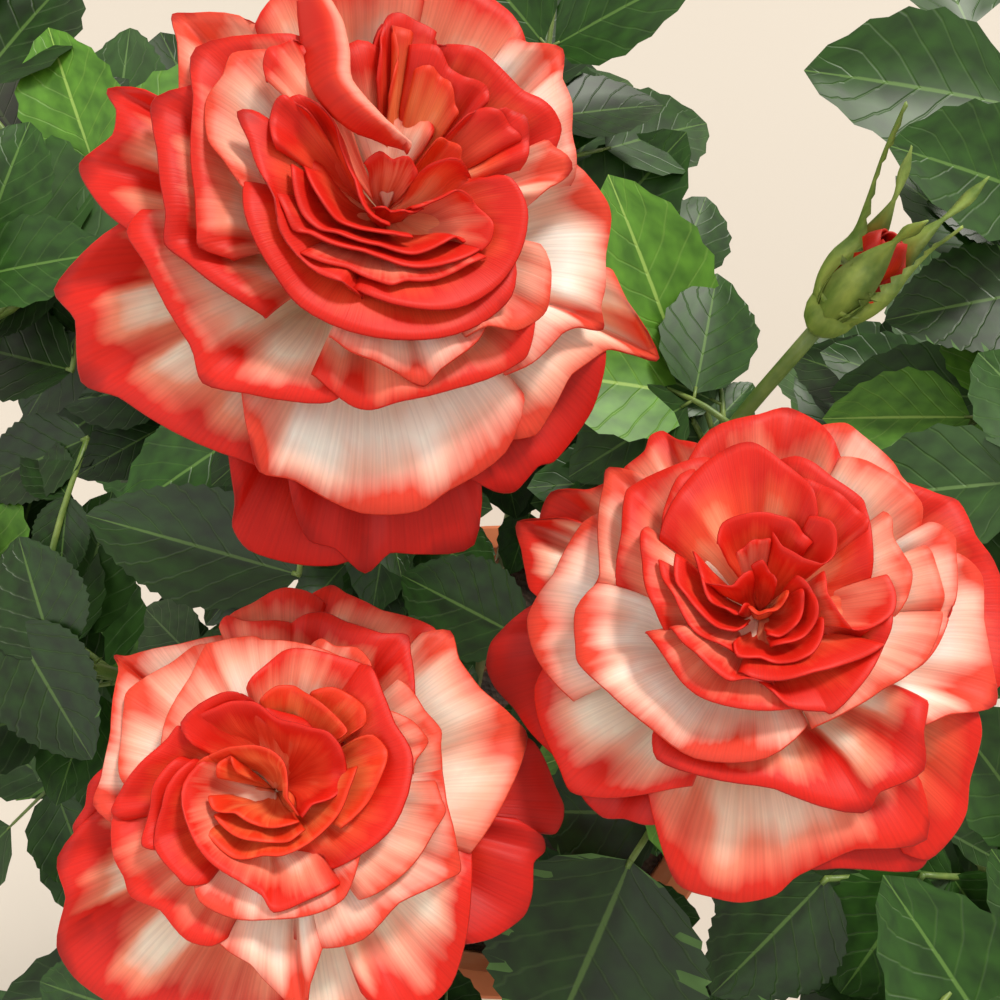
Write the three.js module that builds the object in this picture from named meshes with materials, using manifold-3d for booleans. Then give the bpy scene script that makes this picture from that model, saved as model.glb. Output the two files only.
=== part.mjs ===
// A rose bush in a plain clay pot: three wide two-tone blooms, one bud, and a leafy crown on arching canes.
// Millimetres, +Z up. The origin is the middle of the pot's flat underside.
// Each bloom's petals are given by their rims, as pairs of angle in degrees and reach in millimetres
// on a shallow dome about the bloom's own axis, outermost petal first.

import * as THREE from "three";
import { mergeVertices } from "three/addons/utils/BufferGeometryUtils.js";
import Module from "manifold-3d";

const wasm = await Module();
wasm.setup();

// Pot and soil
const potHeight = 270;
const potTopRadius = 150;
const potFootRadius = 108;
const potWall = 9;
const potFloor = 12;
const potLipHeight = 38;
const potLipOut = 9;
const potSides = 28;
const soilBelowRim = 28;
const gap = 0.3;
const soilTop = potHeight - soilBelowRim;

// Points nearer than this are one point
const mergeReach = 1e-3;
// Edges shorter than this are drawn together
const shortestEdge = 0.02;

// Woody parts
const trunkTopAt = [3, -2];
const trunkHeight = 52;
const trunkRadius = 15;
const trunkFlare = 7;
const caneFootRadius = 5.2;
const caneTipRadius = 3.4;
const caneRing = 12.5;
const sideBranchFootRadius = 3.8;
const sideBranchTipRadius = 2.9;
const stemFootRadius = 2.7;
const stemTipRadius = 2.1;
const limbSides = 7;
const limbSteps = 7;
const stemSides = 5;
const stemSteps = 8;
const twigSides = 3;
const twigTipRadius = 1.5;
const caneRise = 46;
const caneSpread = 6;
const stemRise = 24;

// Leaves
const leafletLength = 66;
const leafletWidthShare = 0.66;
const leafletThickness = 1.3;
const leafStalk = 38;
const shortStalk = 34;
const pairSpacing = 30;
const leafSpacing = 51;
const stalkRadius = 1.35;
const turnPerLeaf = 144;
const crownFoot = 310;
const crownTop = 760;
const cellMargin = 2.5;
const limbMargin = 2;
const rootDepth = 3.5;
const innerLeafShare = 0.78;
const shortPairAt = 0.6;
const headingTries = [0, 0.6, -0.6, 1.2, -1.2];
const widestAt = 0.42;
const bladeFold = 0.1;
const leafletSpread = 1.05;
const lowerLeafletShare = 0.92;
const leafletStep = 0.14;
const massSeed = 101;
const massSeedStep = 37;
const leafSeedStep = 1000;
const twigSeedStep = 100;

// Blooms
const petalThickness = 1.5;
const petalFootRadius = 4;
const petalFootDepth = -12;
const edgeTuck = 4;
const hipDepth = 26;
const hipRadius = 5.5;
const clearAroundBloom = 20;
const clearUnderBloom = 19;
const clearAroundHip = 36;
const clearUnderHip = 14;
const clearAroundBud = 52;
const clearUnderBud = 12;
const outerShare = 0.88;
const petalRows = [0.5, 1];
const petalColumns = 5;
const heartCount = 4;
const heartSeed = 17;
const sepalCount = 5;
const sepalThickness = 1.6;

const bloomOne = {
  name: "bloom_1",
  centre: [-29, 107.5, 780],
  axis: [0.306, -0.114, 0.945],
  radius: 68,
  height: 32,
  power: 2.3,
  cupAt: 75,
  cup: 16,
  petals: [
    [[238, 52], [247, 63], [249, 68], [253, 71], [261, 71], [268, 70], [275, 66]],
    [[252, 52], [257, 60], [262, 66], [267, 67], [273, 71.5],
      [277, 67.5], [283, 68.5], [293, 69.5], [297, 54]],
    [[292, 54], [298, 60], [303, 62.5], [309, 60.5], [313, 62],
      [320, 61.5], [327, 60.5], [336, 57], [341, 56]],
    [[188, 46], [193, 56], [198, 64.5], [205, 62.5], [214, 66.5],
      [220, 62.5], [228, 60.5], [244, 57], [250, 56]],
    [[158, 50], [160, 58], [165, 54], [171, 53],
      [176, 58.5], [183, 55.5], [188, 52.5], [196, 46]],
    [[305, 52], [311, 54.5], [317, 52.5], [326, 50.5], [339, 56],
      [344, 65], [349, 76], [352, 58], [358, 52]],
    [[120, 38], [126, 39.5], [132, 43.5], [138, 47],
      [142, 52], [147, 48.7], [154, 45.7], [168, 40]],
    [[50, 44], [57, 47], [64, 50], [74, 52], [86, 51], [96, 48], [103, 44]],
    [[84, 44], [94, 47], [104, 49], [114, 48], [124, 45], [132, 42]],
    [[232, 42], [244, 53], [249, 57.5], [256, 56.5], [270, 60],
      [281, 60], [288, 57], [302, 54], [313, 46]],
    [[188, 46], [194, 49.5], [203, 47.5], [222, 47.5], [230, 50.5],
      [239, 47], [247, 44.5], [257, 42], [262, 38]],
    [[310, 40.5], [317, 42], [330, 42], [340, 46], [344, 44],
      [358, 44.5], [367, 48.3], [372, 46], [384, 40]],
    [[16, 40], [24, 41], [30, 42.5], [36, 45], [43, 47], [49, 52], [55, 45], [60, 45]],
    [[152, 38], [162, 47.3], [169, 45.8], [177, 43.6], [192, 42.2],
      [199, 43.5], [206, 41], [221, 37], [230, 34.5]],
    [[124, 34.5], [133, 37.5], [147, 45.8], [160, 40.5], [170, 38.5],
      [188, 36.8], [199, 37.6], [204, 38.2], [210, 33]],
    [[250, 38], [262, 41.5], [268, 41.8], [276, 40], [292, 38.9],
      [311, 40], [316, 40], [326, 36], [341, 31]],
    [[132, 33], [139, 36], [145, 38.8], [152, 37.5], [160, 38],
      [173, 35], [180, 31.8], [188, 28.8], [196, 25]],
    [[22, 34], [30, 38.7], [35, 38.2], [41, 36.5], [47, 34.5],
      [63, 33.5], [70, 32], [80, 30.5], [92, 30]],
    [[250, 31], [258, 33], [266, 33.8], [274, 35.2], [282, 37.5],
      [287, 35.3], [294, 33.7], [303, 32.3], [311, 30]],
    [[300, 30.5], [308, 31], [317, 31], [328, 33.7], [333, 31.3], [342, 30], [350, 28]],
    [[364, 27], [370, 31], [377, 37.5], [384, 35], [388, 33]],
    [[185, 28], [200, 29.3], [223, 29.6], [237, 30.3], [260, 30],
      [283, 29.7], [305, 29.8], [322, 29.5], [338, 26]],
    [[158, 28], [163, 31.5], [172, 28], [185, 25.5], [197, 23.8],
      [211, 24.8], [234, 24], [246, 23], [257, 23]],
    [[250, 22], [275, 23.8], [298, 25.5], [322, 26.2], [338, 26],
      [357, 25], [371, 22], [378, 18], [384, 13]]
  ]
};

const bloomTwo = {
  name: "bloom_2",
  centre: [59.3, 26, 743],
  axis: [-0.124, 0.193, 0.973],
  radius: 60,
  height: 30,
  power: 2.3,
  cupAt: 75,
  cup: 12,
  petals: [
    [[172, 50], [177, 58], [180, 62], [185, 63.5],
      [190, 62], [197, 58.3], [205, 56.3], [212, 54]],
    [[216, 50], [221, 56], [225, 57], [230, 54.8], [234, 52.5], [239, 51.3], [245, 48]],
    [[268, 48], [277, 52.5], [284, 53.5], [291, 55.5], [300, 59.5], [304, 58.5], [308, 56.5]],
    [[299, 55], [303, 59], [311, 58.3], [316, 57],
      [321, 53.5], [330, 51], [334, 49], [338, 46]],
    [[340, 50], [346, 53.5], [354, 56], [362, 57], [375, 56.5],
      [381, 53.5], [390, 55], [394, 51], [405, 44]],
    [[31, 42.5], [36, 44], [42, 45.5], [47, 48.3], [58, 50], [63, 51.3], [68, 48.5], [72, 44]],
    [[98, 36], [105, 40.5], [110, 45], [112, 50.3],
      [116, 50], [120, 46.8], [127, 46.5], [133, 45]],
    [[128, 42], [135, 47], [139, 50.5], [142, 59.5], [149, 58.5], [153, 54]],
    [[148, 46], [149, 55], [150, 65], [158, 58.5], [164, 55], [170, 52], [176, 45]],
    [[232, 42], [242, 51], [248, 58], [257, 59], [270, 58],
      [275, 53.5], [288, 51], [304, 55.5], [311, 45]],
    [[190, 47], [196, 52], [202, 53.5], [215, 54.7], [221, 57],
      [227, 52.5], [234, 47.7], [241, 43.3], [246, 40.5]],
    [[140, 40], [149, 44.5], [158, 45.5], [167, 46.5], [172, 49.5],
      [178, 52], [188, 50.5], [198, 47.5], [204, 45]],
    [[316, 38], [322, 40.3], [328, 43], [338, 51.5], [347, 49.5],
      [358, 47.5], [369, 49], [374, 46.5], [379, 43]],
    [[38, 33], [50, 38], [56, 38.5], [63, 42.5], [69, 47.5],
      [78, 50.8], [86, 46.5], [101, 43.5], [118, 33]],
    [[228, 36], [234, 40], [249, 38.8], [269, 38.3], [292, 45.4],
      [298, 43.4], [311, 45], [318, 40.2], [328, 38]],
    [[125, 38], [131, 48.7], [137, 45.5], [149, 40.5], [159, 37],
      [168, 35.2], [173, 36.4], [184, 33.7], [206, 27]],
    [[353, 27], [360, 30], [366, 31.7], [379, 37], [386, 40.3],
      [392, 42.3], [404, 42], [412, 41.5], [420, 40]],
    [[328, 31], [335, 33.5], [343, 35.5], [354, 38], [361, 40],
      [374, 43], [380, 45.7], [384, 44], [387, 42]],
    [[338, 30.5], [344, 32.5], [350, 35.5], [357, 36.8], [363, 37.3], [374, 37.5], [380, 37.5]],
    [[104, 36], [118, 36.3], [130, 38.8], [135, 39.3], [141, 37],
      [152, 33.3], [171, 31.2], [187, 27.5], [206, 24.5]],
    [[170, 35], [180, 39.9], [191, 40.8], [197, 41.3], [210, 38.2],
      [227, 36.3], [244, 36.4], [266, 33.2], [284, 27]],
    [[285, 28], [301, 28], [316, 29], [323, 30.5], [331, 32.3],
      [338, 34], [345, 35], [352, 35.8], [357, 37]],
    [[-9, 26.6], [-2, 28.5], [5, 29.8], [12, 30.5], [24, 30], [30, 31.7], [36, 33]],
    [[-6, 19.5], [7, 21.7], [24, 24.3], [38, 28], [44, 30.3],
      [58, 30.8], [66, 31.8], [74, 32.5], [82, 31.5]],
    [[112, 33], [120, 32.3], [130, 29.5], [139, 27], [146, 25.5]],
    [[144, 29], [150, 29], [157, 27.5], [164, 26], [180, 24.3], [190, 23], [207, 21.3]],
    [[196, 26], [206, 25.5], [216, 25.5], [227, 26],
      [238, 26.2], [257, 25.3], [276, 24.5], [283, 24.7]],
    [[262, 19], [268, 21.5], [275, 24.3], [290, 26.3], [293, 27.3],
      [306, 26], [325, 25], [341, 25.3], [356, 25.2]],
    [[29, 24], [34, 26.5], [40, 26.8], [47, 26.3], [55, 26.5], [64, 27], [72, 27]],
    [[50, 18], [62, 24], [70, 27], [80, 30.5], [90, 34.7],
      [100, 34], [119, 30], [127, 28.3], [148, 25]],
    [[325, 17.5], [333, 20], [340, 22.3], [346, 23.8], [353, 25.6], [358, 25.9], [369, 24]],
    [[200, 21.5], [210, 21], [222, 20.6], [243, 21.3], [252, 20], [270, 19.5]],
    [[248, 18.5], [256, 19.3], [275, 19.6], [293, 19.5], [310, 21], [326, 24], [333, 25]]
  ]
};

const bloomThree = {
  name: "bloom_3",
  centre: [-48.4, -10, 737.5],
  axis: [-0.031, 0.085, 0.996],
  radius: 58,
  height: 28,
  power: 2.3,
  cupAt: 165,
  cup: 10,
  petals: [
    [[351, 50], [351.5, 57], [352, 61.5], [355, 63], [358, 63],
      [362, 61], [368, 59], [372, 57], [376, 52]],
    [[322, 51], [327, 55.7], [334, 59.6], [339, 59.4],
      [345, 57.8], [348, 59.7], [351, 58.5], [354, 52]],
    [[43, 47], [48, 49.5], [52, 48.7], [62, 45.5], [68, 45.8],
      [75, 46.5], [80, 47.7], [87, 42.5], [92, 41]],
    [[80, 43], [86, 45], [92, 45.5], [97, 44.5], [102, 42], [108, 40], [112, 37]],
    [[168, 33], [174, 36], [179, 38.4], [185, 39.5], [190, 42.7], [194, 43], [198, 41]],
    [[186, 36], [197, 47.6], [207, 48.3], [214, 57.7], [221, 58.5],
      [232, 55], [240, 54], [260, 51], [276, 44]],
    [[296, 45], [302, 54], [308, 55], [314, 54.7],
      [325, 50.6], [334, 47.2], [343, 44.3], [350, 42]],
    [[343, 44], [354, 48], [361, 50.8], [373, 56], [378, 54],
      [387, 49.5], [397, 48.8], [405, 51.7], [410, 46]],
    [[112, 36], [126, 38], [140, 45], [143, 48.7], [145, 43.5],
      [161, 36.2], [176, 35.4], [185, 36.7], [195, 31]],
    [[73, 31.5], [77, 33.5], [82, 35.5], [87, 36.3],
      [98, 36.3], [104, 37.5], [109, 39.8], [113, 38]],
    [[32, 35.5], [36, 37], [46, 41], [51, 43.7], [57, 40.3],
      [69, 39], [77, 39.8], [82, 38.5], [88, 36]],
    [[114, 34], [122, 35.5], [132, 35], [147, 37.5], [152, 36],
      [161, 33.3], [169, 31.8], [176, 30], [182, 28]],
    [[352, 34], [359, 36], [373, 37], [379, 38], [387, 36.3], [396, 36], [402, 35]],
    [[276, 29], [291, 33], [306, 36], [322, 36], [334, 41.3],
      [338, 43.5], [344, 41.3], [356, 37.6], [368, 36.3]],
    [[252, 30], [260, 31.5], [269, 33.5], [273, 37],
      [277, 40.5], [282, 44.5], [286, 39], [293, 33]],
    [[186, 27], [190, 31], [204, 32.4], [212, 32.4], [219, 33.6],
      [231, 30.3], [245, 32], [254, 31.4], [259, 29]],
    [[49, 32], [52, 33.5], [60, 34.5], [67, 32.5], [73, 33], [77, 31]],
    [[313, 29.5], [320, 31.5], [334, 34.3], [346, 36], [353, 37.7], [357, 36.5], [363, 35]],
    [[366, 30.7], [371, 32], [376, 34.8], [379, 34.5], [385, 33], [394, 29]],
    [[62, 31], [78, 30.7], [95, 31.2], [99, 32.3], [113, 33],
      [117, 33.2], [127, 28.5], [146, 25], [165, 22]],
    [[143, 19], [146, 21.5], [154, 22], [162, 23.2], [170, 25.2],
      [180, 28.4], [184, 30], [189, 31], [193, 29]],
    [[44, 30.5], [50, 32.5], [65, 30.5], [80, 29.2],
      [86, 28], [92, 25.3], [97, 23], [104, 20.5]],
    [[232, 20], [244, 24], [262, 25], [280, 25.2], [298, 27],
      [305, 27.5], [312, 27.5], [329, 24.5], [338, 24]],
    [[292, 18], [313, 21.5], [330, 25], [345, 28.5], [371, 31.3],
      [386, 29.7], [399, 30.8], [410, 32.8], [416, 31]],
    [[160, 18], [170, 19.5], [180, 20.8], [190, 21.8], [200, 23.8], [207, 25], [213, 22.5]],
    [[158, 15], [170, 16.5], [180, 17.7], [192, 19], [204, 22],
      [210, 23], [228, 22.3], [236, 22.5], [243, 20.5]],
    [[150, 12], [178, 14.8], [212, 14.8], [238, 16.2], [262, 17.8],
      [277, 20.5], [282, 24], [297, 24], [313, 25]],
    [[20, 18], [45, 18], [60, 16], [80, 15.5], [95, 16.5],
      [104, 19], [115, 20.5], [143, 21], [150, 16]]
  ]
};

const blooms = [bloomOne, bloomTwo, bloomThree];

const bud = { name: "bud", foot: [83, 107, 736], axis: [0.345, 0.352, 0.871], length: 34, radius: 9.5 };

// Colours
const clayColour = 0xb4623c;
const soilColour = 0x2a1c12;
const barkColour = 0x5b6a34;
const oldBarkColour = 0x7a6a4c;
const leafColour = 0x24451f;
const petalColour = 0xe23a22;
const budColour = 0x6f8f3a;

// Vector from a list of three numbers
function vec(list) {
  return new THREE.Vector3(list[0], list[1], list[2]);
}

// A repeatable stream of numbers from 0 to 1
function numberStream(seed) {
  let state = seed >>> 0;
  return () => {
    state = (Math.imul(state, 1664525) + 1013904223) >>> 0;
    return state / 4294967296;
  };
}

// Closed three.js geometry to a solid that can be joined and cut
function toSolid(geometry) {
  const bare = geometry.clone();
  bare.deleteAttribute("normal");
  bare.deleteAttribute("uv");
  const merged = mergeVertices(bare, mergeReach);
  return new wasm.Manifold(new wasm.Mesh({
    numProp: 3,
    vertProperties: new Float32Array(merged.attributes.position.array),
    triVerts: new Uint32Array(merged.index.array)
  }));
}

// The largest closed body of a joined solid: loose scraps go, and sealed hollows are filled
function largestBody(solid) {
  const bodies = solid.decompose().sort((a, b) => b.volume() - a.volume());
  const mesh = bodies[0].getMesh();
  const points = [];
  for (let i = 0; i < mesh.numVert; i += 1) {
    points.push(...mesh.vertProperties.slice(mesh.numProp * i, mesh.numProp * i + 3));
  }
  const geometry = new THREE.BufferGeometry();
  geometry.setAttribute("position", new THREE.Float32BufferAttribute(points, 3));
  geometry.setIndex([...mesh.triVerts]);
  return mergeVertices(geometry, mergeReach);
}

// Points that meet once merged can close off a new hollow, so the body is taken out more than once
function toGeometry(solid) {
  let geometry = largestBody(solid.simplify(shortestEdge));
  for (let round = 0; round < 3; round += 1) {
    geometry = largestBody(toSolid(geometry));
  }
  geometry.computeVertexNormals();
  return geometry;
}

function joined(solids) {
  return wasm.Manifold.union(solids);
}

// Geometry from a list of points and a list of triangles
function facedGeometry(points, faces) {
  const geometry = new THREE.BufferGeometry();
  const places = points.flatMap((p) => [p.x, p.y, p.z]);
  geometry.setAttribute("position", new THREE.Float32BufferAttribute(places, 3));
  geometry.setIndex(faces.flat());
  return geometry;
}

// A limb of round section that tapers evenly along a smooth path, closed at both ends
function limbGeometry(path, footRadius, tipRadius, sides, steps) {
  const curve = new THREE.CatmullRomCurve3(path);
  const frames = curve.computeFrenetFrames(steps, false);
  const points = [];
  const faces = [];
  for (let i = 0; i <= steps; i += 1) {
    const middle = curve.getPointAt(i / steps);
    const radius = footRadius + (tipRadius - footRadius) * (i / steps);
    for (let k = 0; k < sides; k += 1) {
      const turn = (2 * Math.PI * k) / sides;
      const across = frames.normals[i].clone().multiplyScalar(Math.cos(turn) * radius);
      const along = frames.binormals[i].clone().multiplyScalar(Math.sin(turn) * radius);
      points.push(middle.clone().add(across).add(along));
    }
  }
  for (let i = 0; i < steps; i += 1) {
    for (let k = 0; k < sides; k += 1) {
      const a = i * sides + k;
      const b = i * sides + ((k + 1) % sides);
      faces.push([a, b, b + sides], [a, b + sides, a + sides]);
    }
  }
  for (let k = 1; k < sides - 1; k += 1) {
    const end = steps * sides;
    faces.push([0, k + 1, k], [end, end + k, end + k + 1]);
  }
  return facedGeometry(points, faces);
}

// A thin closed shell about a grid of points, rows by columns
function shellGeometry(grid, thickness) {
  const rows = grid.length;
  const columns = grid[0].length;
  const points = [];
  const faces = [];
  for (const side of [0.5, -0.5]) {
    for (let i = 0; i < rows; i += 1) {
      for (let j = 0; j < columns; j += 1) {
        const down = grid[Math.min(i + 1, rows - 1)][j].clone().sub(grid[Math.max(i - 1, 0)][j]);
        const across = grid[i][Math.min(j + 1, columns - 1)].clone().sub(grid[i][Math.max(j - 1, 0)]);
        const normal = down.cross(across).normalize();
        points.push(grid[i][j].clone().addScaledVector(normal, side * thickness));
      }
    }
  }
  const under = rows * columns;
  for (let i = 0; i < rows - 1; i += 1) {
    for (let j = 0; j < columns - 1; j += 1) {
      const a = i * columns + j;
      const b = a + columns;
      faces.push([a, b, b + 1], [a, b + 1, a + 1]);
      faces.push([under + a, under + b + 1, under + b], [under + a, under + a + 1, under + b + 1]);
    }
  }
  const edge = [];
  for (let j = 0; j < columns; j += 1) {
    edge.push(j);
  }
  for (let i = 1; i < rows; i += 1) {
    edge.push(i * columns + columns - 1);
  }
  for (let j = columns - 2; j >= 0; j -= 1) {
    edge.push((rows - 1) * columns + j);
  }
  for (let i = rows - 2; i > 0; i -= 1) {
    edge.push(i * columns);
  }
  edge.forEach((a, n) => {
    const b = edge[(n + 1) % edge.length];
    faces.push([a, b, under + b], [a, under + b, under + a]);
  });
  return facedGeometry(points, faces);
}

// Bloom frame: two directions across, and the axis
function bloomFrame(bloom) {
  const n = vec(bloom.axis).normalize();
  const v = new THREE.Vector3(0, 1, 0).addScaledVector(n, -n.y).normalize();
  const u = v.clone().cross(n);
  return { u, v, n, centre: vec(bloom.centre) };
}

function bloomPoint(frame, angle, reach, height) {
  const turn = THREE.MathUtils.degToRad(angle);
  return frame.centre.clone()
    .addScaledVector(frame.u, reach * Math.cos(turn))
    .addScaledVector(frame.v, reach * Math.sin(turn))
    .addScaledVector(frame.n, height);
}

// Height of the dome that the petals' rims lie on, with the shaded side cupped up
function domeHeight(bloom, angle, reach) {
  const part = reach / bloom.radius;
  const lean = Math.max(0, Math.cos(THREE.MathUtils.degToRad(angle - bloom.cupAt)));
  return bloom.height * (1 - part ** bloom.power) + bloom.cup * part ** 2 * lean ** 1.5;
}

// The rim's ends, its furthest point and evenly spread points between, no more than petalColumns of them
function thinnedRim(rim) {
  const last = rim.length - 1;
  const kept = new Set([0, last, rim.reduce((best, point, j) => (point[1] > rim[best][1] ? j : best), 0)]);
  for (let k = 1; kept.size < Math.min(petalColumns, rim.length) && k < last; k += 1) {
    kept.add(Math.round((k * last) / (petalColumns - 1)));
  }
  return rim.filter((point, j) => kept.has(j));
}

// One petal: each rim point is joined to the foot of the bloom by a curve that dips under the inner petals
function petalGeometry(bloom, frame, rim) {
  const last = rim.length - 1;
  const grid = petalRows.map((t) => rim.map(([angle, reach], j) => {
    const side = Math.abs((2 * j) / last - 1);
    const tuck = edgeTuck * Math.max(0, (side - 0.7) / 0.3) ** 2;
    const open = THREE.MathUtils.smoothstep(reach, 12, 34);
    const top = domeHeight(bloom, angle, reach) - tuck;
    const bendReach = reach * (0.97 - 0.3 * open);
    const under = domeHeight(bloom, angle, bendReach) - tuck;
    const curve = new THREE.CubicBezierCurve(
      new THREE.Vector2(petalFootRadius, petalFootDepth),
      new THREE.Vector2(reach * (0.55 - 0.2 * open) + 2, -6),
      new THREE.Vector2(bendReach, under - reach * (0.5 - 0.4 * open) - 1),
      new THREE.Vector2(reach, top)
    );
    const place = curve.getPoint(t);
    return bloomPoint(frame, angle, place.x, place.y);
  }));
  return shellGeometry(grid, petalThickness);
}

// The packed heart of a bloom, its hip and the five green sepals under it
function bloomHeart(bloom, frame) {
  const edge = 0.7 * bloom.radius;
  const depth = (reach) => domeHeight({ ...bloom, cup: 0 }, 0, reach) - 4 - 0.1 * reach;
  const profile = [
    new THREE.Vector2(0, -hipDepth),
    new THREE.Vector2(0.6 * hipRadius, -hipDepth),
    new THREE.Vector2(hipRadius, -hipDepth + 5),
    new THREE.Vector2(0.8 * hipRadius, petalFootDepth - 3),
    new THREE.Vector2(0.35 * bloom.radius, -9),
    new THREE.Vector2(0.6 * bloom.radius, -1),
    new THREE.Vector2(edge, depth(edge) - 2),
    new THREE.Vector2(0.8 * edge, depth(0.8 * edge)),
    new THREE.Vector2(0.5 * edge, depth(0.5 * edge)),
    new THREE.Vector2(0.22 * edge, depth(0.22 * edge)),
    new THREE.Vector2(0, depth(0) - 4)
  ];
  const lathe = new THREE.LatheGeometry(profile, 12);
  lathe.rotateX(Math.PI / 2);
  lathe.applyMatrix4(new THREE.Matrix4().makeBasis(frame.u, frame.v, frame.n));
  lathe.translate(frame.centre.x, frame.centre.y, frame.centre.z);
  return toSolid(lathe);
}

// Small upright petals of the heart, by a seeded rule
function heartPetals(bloom, seed) {
  const next = numberStream(seed);
  const rims = [];
  for (let k = 0; k < heartCount; k += 1) {
    const middle = k * 137.5 + 20 * next();
    const reach = 0.5 * bloom.radius - 4 * k;
    const span = 50 + 6 * k;
    rims.push([-1, -0.4, 0.4, 1].map((s) => [middle + s * span, reach * (1 - 0.12 * s * s) + 1.5 * next()]));
  }
  return rims;
}

// Leaf blade or sepal of eight faces from its root to its tip
function bladeGeometry(root, tip, across, width, thickness) {
  const along = tip.clone().sub(root);
  const up = across.clone().cross(along).normalize();
  const middle = root.clone().addScaledVector(along, widestAt);
  const side = across.clone().normalize().multiplyScalar(width / 2);
  const points = [
    root,
    middle.clone().add(side).addScaledVector(up, bladeFold * width),
    tip,
    middle.clone().sub(side).addScaledVector(up, bladeFold * width),
    middle.clone().addScaledVector(up, thickness / 2),
    middle.clone().addScaledVector(up, -thickness / 2)
  ];
  const faces = [[0, 1, 4], [1, 2, 4], [2, 3, 4], [3, 0, 4], [0, 5, 1], [1, 5, 2], [2, 5, 3], [3, 5, 0]];
  return facedGeometry(points, faces);
}

// Five sepals round a foot, at a given rise from the horizontal
function sepals(frame, height, length, width, rise) {
  const solids = [];
  for (let k = 0; k < sepalCount; k += 1) {
    const turn = THREE.MathUtils.degToRad((360 * k) / sepalCount + 12);
    const out = frame.u.clone().multiplyScalar(Math.cos(turn)).addScaledVector(frame.v, Math.sin(turn));
    const aim = out.clone().multiplyScalar(Math.cos(rise)).addScaledVector(frame.n, Math.sin(rise));
    const root = frame.centre.clone().addScaledVector(frame.n, height).addScaledVector(out, 1.5);
    const tip = root.clone().addScaledVector(aim, length);
    const across = out.clone().cross(frame.n);
    solids.push(toSolid(bladeGeometry(root, tip, across, width, sepalThickness)));
  }
  return solids;
}

function bloomSolid(bloom, index) {
  const frame = bloomFrame(bloom);
  const solids = [bloomHeart(bloom, frame)];
  const furthest = (rim) => Math.max(...rim.map((point) => point[1]));
  const outer = bloom.petals.filter((rim) => furthest(rim) > outerShare * bloom.radius);
  for (const rim of [...outer.map(thinnedRim), ...heartPetals(bloom, heartSeed + index)]) {
    solids.push(toSolid(petalGeometry(bloom, frame, rim)));
  }
  solids.push(...sepals(frame, petalFootDepth - 5, 30, 9, -0.5));
  return joined(solids);
}

// The bud: a swollen hip, closed petals drawn to a point, and five long sepals standing off it
function budSolid() {
  const frame = bloomFrame({ axis: bud.axis, centre: bud.foot });
  const profile = [
    [0, 0], [3.2, 0], [5.6, 5], [4.6, 9], [bud.radius, 17],
    [0.92 * bud.radius, 24], [0.5 * bud.radius, 31], [0, bud.length]
  ].map(([x, y]) => new THREE.Vector2(x, y));
  const lathe = new THREE.LatheGeometry(profile, 12);
  lathe.rotateX(Math.PI / 2);
  lathe.applyMatrix4(new THREE.Matrix4().makeBasis(frame.u, frame.v, frame.n));
  lathe.translate(frame.centre.x, frame.centre.y, frame.centre.z);
  return joined([toSolid(lathe), ...sepals(frame, 8, 44, 8, 1.12)]);
}

// Where a limb or stem runs, from its foot to its tip
function footOf(bloom) {
  const frame = bloomFrame(bloom);
  return frame.centre.clone().addScaledVector(frame.n, -hipDepth - gap);
}

function underBloom(bloom, distance) {
  return footOf(bloom).addScaledVector(bloomFrame(bloom).n, -distance);
}

function underBud(distance) {
  return vec(bud.foot).addScaledVector(vec(bud.axis).normalize(), -distance);
}

const soilMiddle = new THREE.Vector3(0, 0, soilTop);
const trunkTop = new THREE.Vector3(...trunkTopAt, soilTop + trunkHeight);

// Canes rise from the trunk's crown. Each entry: name, direction at the trunk in degrees, and its tip.
const canes = [
  { name: "cane_1", turn: 120, tip: [-44, 70, 408] },
  { name: "cane_2", turn: 8, tip: [58, 12, 392] },
  { name: "cane_3", turn: 185, tip: [-50, -20, 386] },
  { name: "cane_4", turn: 64, tip: [66, 84, 400] },
  { name: "cane_5", turn: 245, tip: [-48, -84, 380] },
  { name: "cane_6", turn: 312, tip: [50, -78, 384] }
];

// Side branches leave a cane part of the way up it
const sideBranches = [
  { name: "side_branch_1", cane: "cane_1", at: 0.5, tip: [-104, 104, 416] },
  { name: "side_branch_2", cane: "cane_3", at: 0.45, tip: [-112, 14, 396] },
  { name: "side_branch_3", cane: "cane_4", at: 0.5, tip: [136, 66, 412] },
  { name: "side_branch_4", cane: "cane_2", at: 0.45, tip: [114, -26, 394] },
  { name: "side_branch_5", cane: "cane_1", at: 0.4, tip: [4, 128, 404] }
];

function canePath(cane) {
  const turn = THREE.MathUtils.degToRad(cane.turn);
  const tip = vec(cane.tip);
  const out = new THREE.Vector3(Math.cos(turn), Math.sin(turn), 0);
  const foot = trunkTop.clone().addScaledVector(out, caneRing).add(new THREE.Vector3(0, 0, -9));
  const lean = tip.clone().sub(foot).multiplyScalar(0.3);
  const rise = foot.clone().add(lean.setZ(caneRise));
  const bend = foot.clone().lerp(tip, 0.68).addScaledVector(out, caneSpread).add(new THREE.Vector3(0, 0, 4));
  return [foot, rise, bend, tip];
}

function sidePath(branch) {
  const cane = canes.find((one) => one.name === branch.cane);
  const foot = new THREE.CatmullRomCurve3(canePath(cane)).getPointAt(branch.at);
  const tip = vec(branch.tip);
  const bend = foot.clone().lerp(tip, 0.5).add(new THREE.Vector3(0, 0, -8));
  return [foot, bend, tip];
}

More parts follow.
